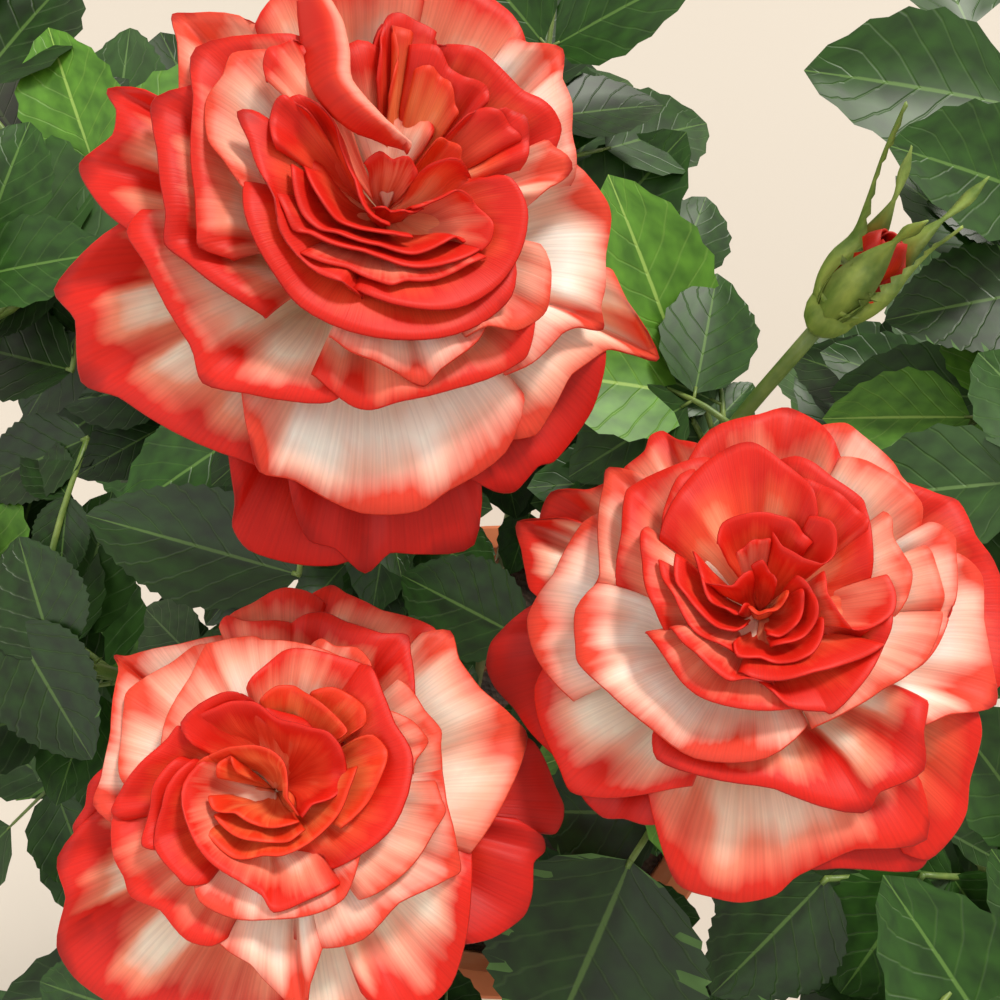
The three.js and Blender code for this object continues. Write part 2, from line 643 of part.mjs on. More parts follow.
// Masses of foliage: each has one stem that starts just clear of its limb's tip.
// Inner masses have smaller leaves.
const masses = [
  { name: "foliage_1", limb: "cane_1", end: footOf(bloomOne), before: underBloom(bloomOne, 60), inner: true },
  { name: "foliage_2", limb: "cane_2", end: footOf(bloomTwo), before: underBloom(bloomTwo, 60), inner: true },
  { name: "foliage_3", limb: "cane_3", end: footOf(bloomThree), before: underBloom(bloomThree, 60), inner: true },
  { name: "foliage_4", limb: "cane_4", end: underBud(gap), before: underBud(40), inner: true },
  { name: "foliage_5", limb: "cane_5", end: new THREE.Vector3(-78, -128, 650) },
  { name: "foliage_6", limb: "cane_6", end: new THREE.Vector3(58, -118, 660) },
  { name: "foliage_7", limb: "side_branch_1", end: new THREE.Vector3(-138, 168, 700) },
  { name: "foliage_8", limb: "side_branch_2", end: new THREE.Vector3(-152, 32, 670) },
  { name: "foliage_9", limb: "side_branch_3", end: new THREE.Vector3(178, 132, 690) },
  { name: "foliage_10", limb: "side_branch_4", end: new THREE.Vector3(152, -38, 670) },
  { name: "foliage_11", limb: "side_branch_5", end: new THREE.Vector3(12, 196, 680) }
];

// Leaves that stand in plain view between the blooms, at places of their own:
// the blade's foot, its tip and its width
const shownLeaves = [
  { mass: "foliage_2", at: 0.76, joint: [36, -30, 688], tip: [12, -84, 674], width: 60 },
  { mass: "foliage_10", at: 0.9, joint: [91, -35, 684], tip: [60, -68, 671], width: 34 },
  { mass: "foliage_10", at: 0.95, joint: [118, -34, 684], tip: [97, -68, 670], width: 36 },
  { mass: "foliage_1", at: 0.76, joint: [-57, 48, 700], tip: [-124, 68, 690], width: 33 },
  { mass: "foliage_7", at: 0.96, joint: [-126, 168, 690], tip: [-132, 250, 676], width: 38 },
  { mass: "foliage_7", at: 0.93, joint: [-140, 146, 690], tip: [-190, 168, 672], width: 32 },
  { mass: "foliage_7", at: 0.88, joint: [-135, 116, 684], tip: [-186, 134, 666], width: 32 },
  { mass: "foliage_8", at: 0.95, joint: [-134, 98, 670], tip: [-176, 84, 658], width: 28 },
  { mass: "foliage_9", at: 0.97, joint: [166, 136, 700], tip: [119, 129, 694], width: 34 },
  { mass: "foliage_9", at: 0.93, joint: [172, 160, 690], tip: [138, 172, 690], width: 20 },
  { mass: "foliage_4", at: 0.78, joint: [60, 98, 686], tip: [44, 136, 692], width: 27 },
  { mass: "foliage_4", at: 0.74, joint: [54, 96, 682], tip: [25, 80, 676], width: 24 },
  { mass: "foliage_1", at: 0.66, joint: [-82, 93, 684], tip: [-118, 86, 670], width: 28 },
  { mass: "foliage_9", at: 0.86, joint: [150, 68, 690], tip: [118, 88, 680], width: 24 },
  { mass: "foliage_5", at: 0.95, joint: [-101, -70, 680], tip: [-131, -64, 672], width: 24 },
  { mass: "foliage_2", at: 0.7, joint: [7, 31, 690], tip: [-31, 53, 672], width: 30 },
  { mass: "foliage_3", at: 0.7, joint: [-2, -42, 672], tip: [34, -58, 650], width: 30 }
];

// Every limb with its path, radii and solid-making sizes
const limbs = [
  ...canes.map((cane) => ({
    name: cane.name,
    path: canePath(cane),
    foot: caneFootRadius,
    tip: caneTipRadius
  })),
  ...sideBranches.map((branch) => ({
    name: branch.name,
    path: sidePath(branch),
    foot: sideBranchFootRadius,
    tip: sideBranchTipRadius
  }))
];

function massPath(mass) {
  const limb = limbs.find((one) => one.name === mass.limb);
  const curve = new THREE.CatmullRomCurve3(limb.path);
  const aim = curve.getTangentAt(1);
  const foot = curve.getPointAt(1).addScaledVector(aim, gap);
  const rise = foot.clone().addScaledVector(aim, stemRise);
  const bend = rise.clone().lerp(mass.end, 0.55).add(new THREE.Vector3(0, 0, 8));
  return [foot, rise, mass.before || bend, mass.end];
}

for (const mass of masses) {
  mass.path = massPath(mass);
}

// Points along a smooth path
function samples(path, count) {
  return new THREE.CatmullRomCurve3(path).getSpacedPoints(count);
}

// What each mass keeps to: the lines of its stem and of its shown leaves,
// with half a blade's width about those
const massLines = masses.map((mass) => [
  { points: samples(mass.path, 12), half: 0 },
  ...shownLeaves.filter((leaf) => leaf.mass === mass.name).flatMap((leaf) => {
    const root = new THREE.CatmullRomCurve3(mass.path).getPointAt(leaf.at);
    return [
      { points: [root, vec(leaf.joint)], half: 0 },
      { points: [vec(leaf.joint), vec(leaf.tip)], half: leaf.width / 2 }
    ];
  })
]);
const limbSamples = limbs.map((limb) => ({ foot: limb.foot, points: samples(limb.path, 12) }));

function nearestDistance(point, line) {
  let nearest = Infinity;
  const segment = new THREE.Line3();
  const foot = new THREE.Vector3();
  for (let i = 0; i < line.length - 1; i += 1) {
    segment.set(line[i], line[i + 1]);
    segment.closestPointToPoint(point, true, foot);
    nearest = Math.min(nearest, foot.distanceTo(point));
  }
  return nearest;
}

function distanceToMass(point, index) {
  return Math.min(...massLines[index].map((line) => nearestDistance(point, line.points) - line.half));
}

// Whether a point may hold foliage of the given mass
function isFree(point, index) {
  const own = Math.max(0, distanceToMass(point, index));
  for (let k = 0; k < masses.length; k += 1) {
    if (k !== index && distanceToMass(point, k) < own + 2 * cellMargin) {
      return false;
    }
  }
  for (const limb of limbSamples) {
    if (nearestDistance(point, limb.points) < limb.foot + limbMargin) {
      return false;
    }
  }
  for (const bloom of blooms) {
    const frame = bloomFrame(bloom);
    const offset = point.clone().sub(frame.centre);
    const height = offset.dot(frame.n);
    const reach = offset.addScaledVector(frame.n, -height).length();
    if (height > -clearUnderBloom && reach < bloom.radius + clearAroundBloom) {
      return false;
    }
    if (height > -hipDepth - clearUnderHip && reach < clearAroundHip) {
      return false;
    }
  }
  const budOffset = point.clone().sub(vec(bud.foot));
  if (budOffset.z > -clearUnderBud && Math.hypot(budOffset.x, budOffset.y) < clearAroundBud) {
    return false;
  }
  return point.z > crownFoot && point.z < crownTop;
}

// One compound leaf: a stalk with paired leaflets and one at its end.
// Only what is free of its neighbours is kept.
function compoundLeaf(root, heading, rise, scale, pairs, index, seed) {
  const next = numberStream(seed);
  const out = new THREE.Vector3(Math.cos(heading), Math.sin(heading), 0);
  const across = new THREE.Vector3(-Math.sin(heading), Math.cos(heading), 0);
  const length = (pairs > 1 ? leafStalk + pairSpacing * pairs : shortStalk) * scale;
  const droop = 0.35 + 0.3 * next();
  const stalkAt = (t) => root.clone()
    .addScaledVector(out, length * t * Math.cos(rise - droop * t * 0.5))
    .add(new THREE.Vector3(0, 0, length * t * Math.sin(rise - droop * t)));
  if (![0.3, 0.65, 1].every((t) => isFree(stalkAt(t), index))) {
    return { solids: [], leaflets: 0 };
  }
  const stalk = [stalkAt(0), stalkAt(0.5), stalkAt(1)];
  const solids = [toSolid(limbGeometry(stalk, stalkRadius * 1.3, stalkRadius, twigSides, 2))];
  const leaflets = [{ t: 1, side: 0, size: 1 }];
  for (let p = 0; p < pairs; p += 1) {
    const along = (leafStalk + pairSpacing * p) / (leafStalk + pairSpacing * pairs);
    const t = pairs > 1 ? along : shortPairAt;
    const size = lowerLeafletShare - leafletStep * (pairs - 1 - p);
    leaflets.push({ t, side: 1, size }, { t, side: -1, size });
  }
  for (const leaflet of leaflets) {
    const bladeLength = leafletLength * scale * leaflet.size * (0.9 + 0.2 * next());
    const spread = leaflet.side * (leafletSpread + 0.2 * next());
    const pitch = rise - droop - 0.25 + 0.5 * next();
    const aim = out.clone().multiplyScalar(Math.cos(spread)).addScaledVector(across, Math.sin(spread));
    aim.multiplyScalar(Math.cos(pitch)).add(new THREE.Vector3(0, 0, Math.sin(pitch)));
    const joint = stalkAt(leaflet.t);
    const bladeRoot = joint.clone().addScaledVector(aim, -rootDepth);
    const tip = joint.clone().addScaledVector(aim, bladeLength);
    const side = new THREE.Vector3(0, 0, 1).cross(aim).normalize();
    const width = bladeLength * leafletWidthShare;
    const middle = bladeRoot.clone().lerp(tip, widestAt);
    const edges = [tip, middle, joint.clone().lerp(tip, 0.7),
      middle.clone().addScaledVector(side, width / 2), middle.clone().addScaledVector(side, -width / 2)];
    if (edges.every((point) => isFree(point, index))) {
      solids.push(toSolid(bladeGeometry(bladeRoot, tip, side, width, leafletThickness)));
    }
  }
  return { solids, leaflets: solids.length - 1 };
}

// The fullest of a few leaves tried about a heading, or nothing when none keeps at least two leaflets
function fittedLeaf(root, heading, rise, scale, pairs, index, seed) {
  let best = { solids: [], leaflets: 1 };
  for (const shift of headingTries) {
    const leaf = compoundLeaf(root, heading + shift, rise, scale, pairs, index, seed);
    if (leaf.leaflets > best.leaflets) {
      best = leaf;
    }
  }
  return best.solids;
}

function shownLeaf(root, leaf) {
  const joint = vec(leaf.joint);
  const tip = vec(leaf.tip);
  const aim = tip.clone().sub(joint).normalize();
  const side = new THREE.Vector3(0, 0, 1).cross(aim).normalize();
  const bend = root.clone().lerp(joint, 0.55).add(new THREE.Vector3(0, 0, 4));
  return [
    toSolid(limbGeometry([root, bend, joint], stalkRadius * 1.3, stalkRadius, twigSides, 2)),
    toSolid(bladeGeometry(joint.addScaledVector(aim, -rootDepth), tip, side, leaf.width, leafletThickness))
  ];
}

// A mass: its stem, short side twigs, and compound leaves in a spiral up it
function massSolid(mass, index) {
  const next = numberStream(massSeed + massSeedStep * index);
  const curve = new THREE.CatmullRomCurve3(mass.path);
  const solids = [toSolid(limbGeometry(mass.path, stemFootRadius, stemTipRadius, stemSides, stemSteps))];
  const count = Math.round(curve.getLength() / leafSpacing);
  const start = next() * 360;
  const sizeShare = mass.inner ? innerLeafShare : 1;
  for (const leaf of shownLeaves.filter((one) => one.mass === mass.name)) {
    solids.push(...shownLeaf(curve.getPointAt(leaf.at), leaf));
  }
  for (let k = 0; k < count; k += 1) {
    const t = 0.08 + (0.9 * k) / (count - 1);
    const heading = THREE.MathUtils.degToRad(start + turnPerLeaf * k);
    const scale = sizeShare * (0.95 + 0.25 * next());
    const rise = 0.25 + 0.4 * t + 0.3 * next();
    const seed = leafSeedStep * (index + 1) + k;
    const pairs = mass.inner ? 1 : 2;
    solids.push(...fittedLeaf(curve.getPointAt(t), heading, rise, scale, pairs, index, seed));
    if (k % 2 === 1 && !mass.inner) {
      solids.push(...sideTwig(curve.getPointAt(t - 0.04), heading + 2.2, index, seed + twigSeedStep));
    }
  }
  return joined(solids);
}

function sideTwig(root, heading, index, seed) {
  const next = numberStream(seed);
  const length = 50 + 30 * next();
  const out = new THREE.Vector3(Math.cos(heading), Math.sin(heading), 0);
  const bend = root.clone().addScaledVector(out, 0.5 * length).add(new THREE.Vector3(0, 0, 0.3 * length));
  const tip = root.clone().addScaledVector(out, 0.8 * length).add(new THREE.Vector3(0, 0, 0.75 * length));
  if (![bend, tip].every((point) => isFree(point, index))) {
    return [];
  }
  const twig = new THREE.CatmullRomCurve3([root, bend, tip]);
  const solids = [toSolid(limbGeometry([root, bend, tip], stemTipRadius, twigTipRadius, twigSides, 3))];
  [[0.6, 1.3], [0.97, -0.9]].forEach(([at, turn], k) => {
    const scale = 0.8 + 0.2 * next();
    const leafSeed = seed + 2 * twigSeedStep + k;
    solids.push(...fittedLeaf(twig.getPointAt(at), heading + turn, 0.4, scale, 1, index, leafSeed));
  });
  return solids;
}

// The trunk: a short knuckled stump with a root flare, cut flat at the soil
function trunkGeometry(extra) {
  const profile = [
    [0, 0], [trunkRadius + trunkFlare, 0], [trunkRadius + 2, 10], [trunkRadius - 1, 24],
    [trunkRadius + 3, trunkHeight - 10], [trunkRadius + 1, trunkHeight - 2],
    [0.5 * trunkRadius, trunkHeight], [0, trunkHeight]
  ].map(([x, y]) => new THREE.Vector2(x > 0 ? x + extra : 0, y >= trunkHeight - 2 ? y + extra : y));
  const geometry = new THREE.LatheGeometry(profile, 14);
  geometry.rotateX(Math.PI / 2);
  const position = geometry.attributes.position;
  for (let i = 0; i < position.count; i += 1) {
    const part = position.getZ(i) / trunkHeight;
    position.setX(i, position.getX(i) + trunkTop.x * part);
    position.setY(i, position.getY(i) + trunkTop.y * part);
  }
  geometry.translate(0, 0, soilMiddle.z + gap);
  return geometry;
}

// The pot: a tapering wall with a thick lip and a flat foot, as one turned section
function potGeometry() {
  const lipFoot = potHeight - potLipHeight;
  const outer = (z) => potFootRadius + ((potTopRadius - potFootRadius) * z) / potHeight;
  const profile = [
    [0, 0], [potFootRadius - 3, 0], [potFootRadius, 3], [outer(lipFoot), lipFoot],
    [outer(lipFoot) + potLipOut, lipFoot + 4], [potTopRadius + potLipOut, potHeight - 3],
    [potTopRadius + potLipOut - 3, potHeight],
    [potTopRadius - potWall + 3, potHeight], [potTopRadius - potWall, potHeight - 3],
    [outer(potFloor) - potWall, potFloor], [0, potFloor]
  ].map(([x, y]) => new THREE.Vector2(x, y));
  const geometry = new THREE.LatheGeometry(profile, potSides);
  geometry.rotateX(Math.PI / 2);
  return geometry;
}

function soilGeometry() {
  const inner = (z) => potFootRadius + ((potTopRadius - potFootRadius) * z) / potHeight - potWall - 2 * gap;
  const profile = [
    [0, potFloor + gap], [inner(potFloor) - 1, potFloor + gap], [inner(soilTop) - 1, soilTop - 4],
    [inner(soilTop) - 7, soilTop], [0, soilTop]
  ].map(([x, y]) => new THREE.Vector2(x, y));
  const geometry = new THREE.LatheGeometry(profile, potSides);
  geometry.rotateX(Math.PI / 2);
  return geometry;
}

const group = new THREE.Group();

function addMesh(name, geometry, colour, roughness) {
  const material = new THREE.MeshStandardMaterial({ color: colour, roughness, metalness: 0 });
  const mesh = new THREE.Mesh(geometry, material);
  mesh.name = name;
  group.add(mesh);
}

addMesh("pot", toGeometry(toSolid(potGeometry())), clayColour, 0.85);
addMesh("soil", toGeometry(toSolid(soilGeometry())), soilColour, 0.95);
addMesh("trunk", toGeometry(toSolid(trunkGeometry(0))), oldBarkColour, 0.85);

// Canes are cut clear of the trunk, and side branches clear of their canes
const trunkRoom = toSolid(trunkGeometry(gap));
for (const limb of limbs) {
  const branch = sideBranches.find((one) => one.name === limb.name);
  const parent = branch && limbs.find((one) => one.name === branch.cane);
  const room = parent
    ? toSolid(limbGeometry(parent.path, parent.foot + gap, parent.tip + gap, limbSides, limbSteps))
    : trunkRoom;
  const body = toSolid(limbGeometry(limb.path, limb.foot, limb.tip, limbSides, limbSteps)).subtract(room);
  addMesh(limb.name, toGeometry(body), barkColour, 0.6);
}

masses.forEach((mass, index) => {
  addMesh(mass.name, toGeometry(massSolid(mass, index)), leafColour, 0.5);
});
blooms.forEach((bloom, index) => {
  addMesh(bloom.name, toGeometry(bloomSolid(bloom, index)), petalColour, 0.6);
});
addMesh(bud.name, toGeometry(budSolid()), budColour, 0.55);

export default group;
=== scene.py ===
import math

import bpy
import numpy as np
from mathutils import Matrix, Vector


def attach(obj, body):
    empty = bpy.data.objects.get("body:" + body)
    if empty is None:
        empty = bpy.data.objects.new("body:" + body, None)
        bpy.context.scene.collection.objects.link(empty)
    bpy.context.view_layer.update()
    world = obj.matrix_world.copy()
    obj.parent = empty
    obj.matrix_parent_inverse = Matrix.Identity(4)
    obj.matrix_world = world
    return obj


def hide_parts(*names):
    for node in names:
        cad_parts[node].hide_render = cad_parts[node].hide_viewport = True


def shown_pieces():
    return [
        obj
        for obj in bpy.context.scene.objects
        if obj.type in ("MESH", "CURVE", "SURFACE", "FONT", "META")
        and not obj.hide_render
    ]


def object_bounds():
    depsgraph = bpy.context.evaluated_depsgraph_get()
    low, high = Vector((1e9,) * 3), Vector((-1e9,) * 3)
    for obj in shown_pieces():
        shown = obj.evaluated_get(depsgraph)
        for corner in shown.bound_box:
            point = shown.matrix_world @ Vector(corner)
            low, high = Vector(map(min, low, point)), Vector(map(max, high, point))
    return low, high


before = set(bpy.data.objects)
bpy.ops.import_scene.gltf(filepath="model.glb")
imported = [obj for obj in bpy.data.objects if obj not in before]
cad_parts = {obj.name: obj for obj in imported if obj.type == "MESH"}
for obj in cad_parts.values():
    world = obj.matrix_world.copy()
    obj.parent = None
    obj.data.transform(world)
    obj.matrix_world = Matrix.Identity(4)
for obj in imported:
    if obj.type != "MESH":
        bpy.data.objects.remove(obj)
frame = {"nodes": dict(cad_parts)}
frameBox = [[float(v) for v in corner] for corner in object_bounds()]
print("frame loaded")

# Sizes are in millimetres until a mesh is made, and the origin is the middle of the pot's underside
mm = 0.001
gap = 0.3
soilTop = 242
trunkTop = np.array([3.0, -2.0, 294.0])


# Helpers for colour and shader nodes
def linear(hexValue):
    parts = [int(hexValue[k:k + 2], 16) / 255 for k in (0, 2, 4)]
    return [p / 12.92 if p <= 0.04045 else ((p + 0.055) / 1.055) ** 2.4 for p in parts] + [1]


def addNode(tree, kind, settings=None, links=None, **attributes):
    node = tree.nodes.new(kind)
    for key, value in attributes.items():
        setattr(node, key, value)
    for key, value in (settings or {}).items():
        node.inputs[key].default_value = value
    for key, socket in (links or {}).items():
        tree.links.new(socket, node.inputs[key])
    return node


# A maths node whose inputs are sockets or plain numbers
def calc(tree, operation, *values):
    numbers = {k: value for k, value in enumerate(values) if isinstance(value, (int, float))}
    sockets = {k: value for k, value in enumerate(values) if k not in numbers}
    return addNode(tree, "ShaderNodeMath", numbers, sockets, operation=operation).outputs[0]


def remap(tree, value, fromMin, fromMax, toMin=0.0, toMax=1.0, kind="LINEAR"):
    settings = {"From Min": fromMin, "From Max": fromMax, "To Min": toMin, "To Max": toMax}
    return addNode(tree, "ShaderNodeMapRange", settings, {"Value": value}, interpolation_type=kind).outputs["Result"]


def noise(tree, place, scale, detail, roughness=0.5, dimensions="3D"):
    settings = {"Scale": scale, "Detail": detail, "Roughness": roughness}
    return addNode(tree, "ShaderNodeTexNoise", settings, {"Vector": place}, noise_dimensions=dimensions).outputs["Fac"]


def stretched(tree, place, scale):
    return addNode(tree, "ShaderNodeMapping", {"Scale": scale}, {"Vector": place}).outputs["Vector"]


def colourRamp(tree, amount, stops):
    node = addNode(tree, "ShaderNodeValToRGB", links={"Fac": amount})
    elements = node.color_ramp.elements
    while len(elements) < len(stops):
        elements.new(0.5)
    for element, (place, colour) in zip(elements, stops):
        element.position = place
        element.color = linear(colour)
    return node.outputs["Color"]


def newMaterial(name, **values):
    material = bpy.data.materials.new(name)
    material.use_nodes = True
    shader = material.node_tree.nodes["Principled BSDF"]
    for key, value in values.items():
        shader.inputs[key.replace("_", " ")].default_value = value
    return material, material.node_tree, shader


# Gives the shader its colour and its relief, whose depth is in metres
def finishSkin(tree, shader, colour, height, strength, depth):
    tree.links.new(colour, shader.inputs["Base Color"])
    bump = addNode(tree, "ShaderNodeBump", {"Strength": strength, "Distance": depth}, {"Height": height})
    tree.links.new(bump.outputs["Normal"], shader.inputs["Normal"])


# Petal skin: the body colour runs through a blush into a red margin along the rim, which ends in a darker rim line
# that is painted shade of the curled edge. The blush comes from each vertex's distance to the rim, and streaks along
# the veins fray it. The UV is in mm.
def petalMaterial(name, body, blush, margin, rim):
    material, tree, shader = newMaterial(name, Roughness=0.55, IOR=1.35, Subsurface_Weight=0.15,
                                         Subsurface_Scale=0.006)
    shader.inputs["Subsurface Radius"].default_value = (1, 0.3, 0.18)
    uv = addNode(tree, "ShaderNodeUVMap", uv_map="petal").outputs["UV"]
    streaks = noise(tree, stretched(tree, uv, (0.3, 0.025, 1)), 1.0, 2, 0.6, "2D")
    patches = noise(tree, uv, 0.08, 1, dimensions="2D")
    distance = addNode(tree, "ShaderNodeAttribute", attribute_name="blush").outputs["Fac"]
    frayed = calc(tree, "MULTIPLY_ADD", streaks, 0.3, -0.15)
    patched = calc(tree, "MULTIPLY_ADD", patches, 0.4, -0.2)
    # The rim line of painted shade itself stays sharp: the fray fades out where the blush is nearly full
    keep = remap(tree, distance, 1.0, 0.8)
    eased = calc(tree, "MULTIPLY", calc(tree, "ADD", frayed, patched), keep)
    stops = [(0.0, body), (0.4, blush), (0.74, margin), (0.93, margin), (1.0, rim)]
    ramp = colourRamp(tree, calc(tree, "ADD", distance, eased), stops)
    # Fine veins darken the colour a little and stand in slight relief
    lines = noise(tree, stretched(tree, uv, (2.6, 0.02, 1)), 1.0, 1, dimensions="2D")
    depth = remap(tree, lines, 0.35, 0.6, 0.9)
    tinted = addNode(tree, "ShaderNodeMix", {0: 1.0}, {6: ramp, 7: depth}, data_type="RGBA", blend_type="MULTIPLY")
    finishSkin(tree, shader, tinted.outputs[2], lines, 0.2, 0.0003)
    return material


# Each look: material, colours of body, blush, margin and rim (the darker rim colour is painted shade of the curled
# edge), the margin's width in mm, how full the blush is along the rim, and how much the margin widens at the rim's
# corners
petalColours = {
    # dark: outer petals, red all over as they are, in a deeper red that is painted shade of the shadow they lie in
    "dark": ("petalDeepRed", "DC3C22", "CC200C", "BA1004", "8C0802", 42, 0.92, 1.3),
    "red": ("petalVermilion", "F69870", "E4482A", "CC1806", "A00E04", 18, 0.88, 1.3),
    # fold: a deep red petal whose pale pink margin is a painted highlight along its rolled-over edge
    "fold": ("petalFold", "C41806", "D43018", "F08C78", "C02C1A", 6, 0.95, 0),
    "salmon": ("petalSalmon", "FBDAC2", "EE8268", "CE1E0C", "A01004", 15, 0.76, 1.3),
    "cream": ("petalCream", "FDF0DA", "F2A28A", "CE1A08", "A01004", 15, 0.84, 1.3),
    "horn": ("petalCreamHorned", "FCEED8", "EC886C", "C81606", "9C0C04", 18, 0.9, 2.2),
    "white": ("petalWhite", "FFF7EA", "F6BCA8", "D63A26", "A8180C", 12, 0.68, 1.3),
    "peach": ("petalPeach", "FDE8D4", "F2A68E", "D8402A", "A81A0E", 13, 0.68, 1.3),
    "orange": ("petalOrange", "F9B48A", "EC7442", "D63010", "A41606", 16, 0.76, 1.3)}
petalLooks = {}
for look, (name, body, blush, margin, rim, width, edge, corners) in petalColours.items():
    petalLooks[look] = {"material": petalMaterial(name, body, blush, margin, rim), "margin": width, "edge": edge,
                        "corners": corners}


# Leaf skin: deep glossy green, a pale thin midrib and side veins that sink in. The UV is the blade's own 0 to 1.
def leafMaterial(name, shade, light, vein, roughness):
    material, tree, shader = newMaterial(name, Roughness=roughness, IOR=1.36)
    uv = addNode(tree, "ShaderNodeUVMap", uv_map="leaf").outputs["UV"]
    parts = addNode(tree, "ShaderNodeSeparateXYZ", links={"Vector": uv}).outputs
    across = calc(tree, "ABSOLUTE", calc(tree, "SUBTRACT", parts["X"], 0.5))
    # Half as many side veins as the multiplier says, slanting towards the tip
    slant = calc(tree, "MULTIPLY_ADD", across, -0.62, parts["Y"])
    wave = calc(tree, "PINGPONG", calc(tree, "MULTIPLY", slant, 13), 1)
    sideVein = remap(tree, wave, 0.16, 0.0, kind="SMOOTHSTEP")
    midrib = remap(tree, across, 0.02, 0.008, kind="SMOOTHSTEP")
    veins = calc(tree, "MAXIMUM", calc(tree, "MULTIPLY", sideVein, 0.2), midrib)
    base = colourRamp(tree, noise(tree, uv, 6.0, 2), [(0.3, shade), (0.7, light)])
    colour = addNode(tree, "ShaderNodeMix", {7: linear(vein)}, {0: veins, 6: base}, data_type="RGBA")
    # The veins sink in, but not at the blade's narrow ends, where they would crowd together
    toEnd = calc(tree, "ABSOLUTE", calc(tree, "SUBTRACT", parts["Y"], 0.5))
    fade = remap(tree, toEnd, 0.47, 0.4, toMax=-1.0)
    finishSkin(tree, shader, colour.outputs[2], calc(tree, "MULTIPLY", sideVein, fade), 0.3, 0.0005)
    return material


leafMaterials = [
    leafMaterial("leafDeepGreen", "112208", "1D3B0F", "46622C", 0.4),
    leafMaterial("leafGreen", "18340C", "284E14", "507232", 0.42),
    leafMaterial("leafSheen", "233F18", "345824", "5E7E46", 0.36),
    leafMaterial("leafYoung", "3A6417", "578A26", "8AAC50", 0.44)]
leafUnder = leafMaterial("leafUnderside", "3A5828", "50743A", "728F56", 0.6)


# Stem skins, from young green shoots to grey-brown old wood
def barkMaterial(name, shade, light, scale, roughness):
    material, tree, shader = newMaterial(name, Roughness=roughness)
    place = addNode(tree, "ShaderNodeTexCoord").outputs["Object"]
    grain = noise(tree, stretched(tree, place, (1, 1, 0.25)), scale, 3, 0.6)
    finishSkin(tree, shader, colourRamp(tree, grain, [(0.3, shade), (0.7, light)]), grain, 0.4, 0.001)
    return material


shootSkin = barkMaterial("greenShoot", "4E6B2C", "7A8E44", 160, 0.45)
caneSkin = barkMaterial("caneBark", "47552C", "6E6B3E", 120, 0.6)
oldSkin = barkMaterial("oldBark", "4E4230", "86765A", 140, 0.85)
thornSkin = barkMaterial("prickle", "7C4A30", "A5613E", 90, 0.4)
sepalSkin = barkMaterial("sepalGreen", "58762C", "93A84C", 180, 0.45)


# Fired clay: fine grain, pale bloom of salts, and faint turning lines
def clayMaterial():
    material, tree, shader = newMaterial("firedClay", Roughness=0.86)
    place = addNode(tree, "ShaderNodeTexCoord").outputs["Object"]
    grain = noise(tree, place, 420, 2)
    ramp = colourRamp(tree, noise(tree, place, 9, 4, 0.6), [(0.3, "A55633"), (0.52, "B9683F"), (0.72, "C98862")])
    turned = addNode(tree, "ShaderNodeTexWave", {"Scale": 60, "Distortion": 1.5, "Detail": 2}, {"Vector": place},
                     bands_direction="Z").outputs["Fac"]
    finishSkin(tree, shader, ramp, calc(tree, "MULTIPLY_ADD", turned, 0.3, grain), 0.25, 0.0008)
    return material


# Potting soil: dark crumbs with a few pale bits
def soilMaterial():
    material, tree, shader = newMaterial("pottingSoil", Roughness=0.95)
    place = addNode(tree, "ShaderNodeTexCoord").outputs["Object"]
    crumbs = addNode(tree, "ShaderNodeTexVoronoi", {"Scale": 260}, {"Vector": place}).outputs["Distance"]
    ramp = colourRamp(tree, noise(tree, place, 90, 3), [(0.3, "1A110B"), (0.6, "33241A"), (0.8, "5A4634")])
    finishSkin(tree, shader, ramp, crumbs, 0.8, 0.003)
    return material


claySkin = clayMaterial()
soilSkin = soilMaterial()
print("materials made")


# A seeded stream of numbers from 0 to 1, the same as the solids use
def numberStream(seed):
    state = seed

    def following():
        nonlocal state
        state = (state * 1664525 + 1013904223) & 0xFFFFFFFF
        return state / 4294967296

    return following


# A smooth path through points, measured along its length
class Path:
    def __init__(self, points):
        self.points = [np.array(p, float) for p in points]
        self.steps = np.linspace(0, 1, 201)
        places = np.array([self.at(t) for t in self.steps])
        self.lengths = np.concatenate([[0], np.cumsum(np.linalg.norm(np.diff(places, axis=0), axis=1))])

    def at(self, t):
        points = self.points
        last = len(points) - 1
        place = last * t
        k = min(int(place), last - 1)
        w = place - k
        p1, p2 = points[k], points[k + 1]
        p0 = points[k - 1] if k > 0 else 2 * points[0] - points[1]
        p3 = points[k + 2] if k + 2 <= last else 2 * points[last] - points[last - 1]
        d0, d1, d2 = (max(np.dot(b - a, b - a), 1e-9) ** 0.25 for a, b in ((p0, p1), (p1, p2), (p2, p3)))
        t1 = d1 * ((p1 - p0) / d0 - (p2 - p0) / (d0 + d1) + (p2 - p1) / d1)
        t2 = d1 * ((p2 - p1) / d1 - (p3 - p1) / (d1 + d2) + (p3 - p2) / d2)
        return p1 + t1 * w + (3 * p2 - 3 * p1 - 2 * t1 - t2) * w * w + (2 * p1 - 2 * p2 + t1 + t2) * w ** 3

    def share(self, u):
        return float(np.interp(u * self.lengths[-1], self.lengths, self.steps))

    def pointAt(self, u):
        return self.at(self.share(u))

    def aimAt(self, u):
        t = self.share(u)
        return unit(self.at(min(1, t + 1e-4)) - self.at(max(0, t - 1e-4)))

    def spaced(self, count):
        return np.array([self.pointAt(k / count) for k in range(count + 1)])


def unit(v):
    return v / np.linalg.norm(v)


def flat(heading):
    return np.array([math.cos(heading), math.sin(heading), 0])


up = np.array([0.0, 0.0, 1.0])


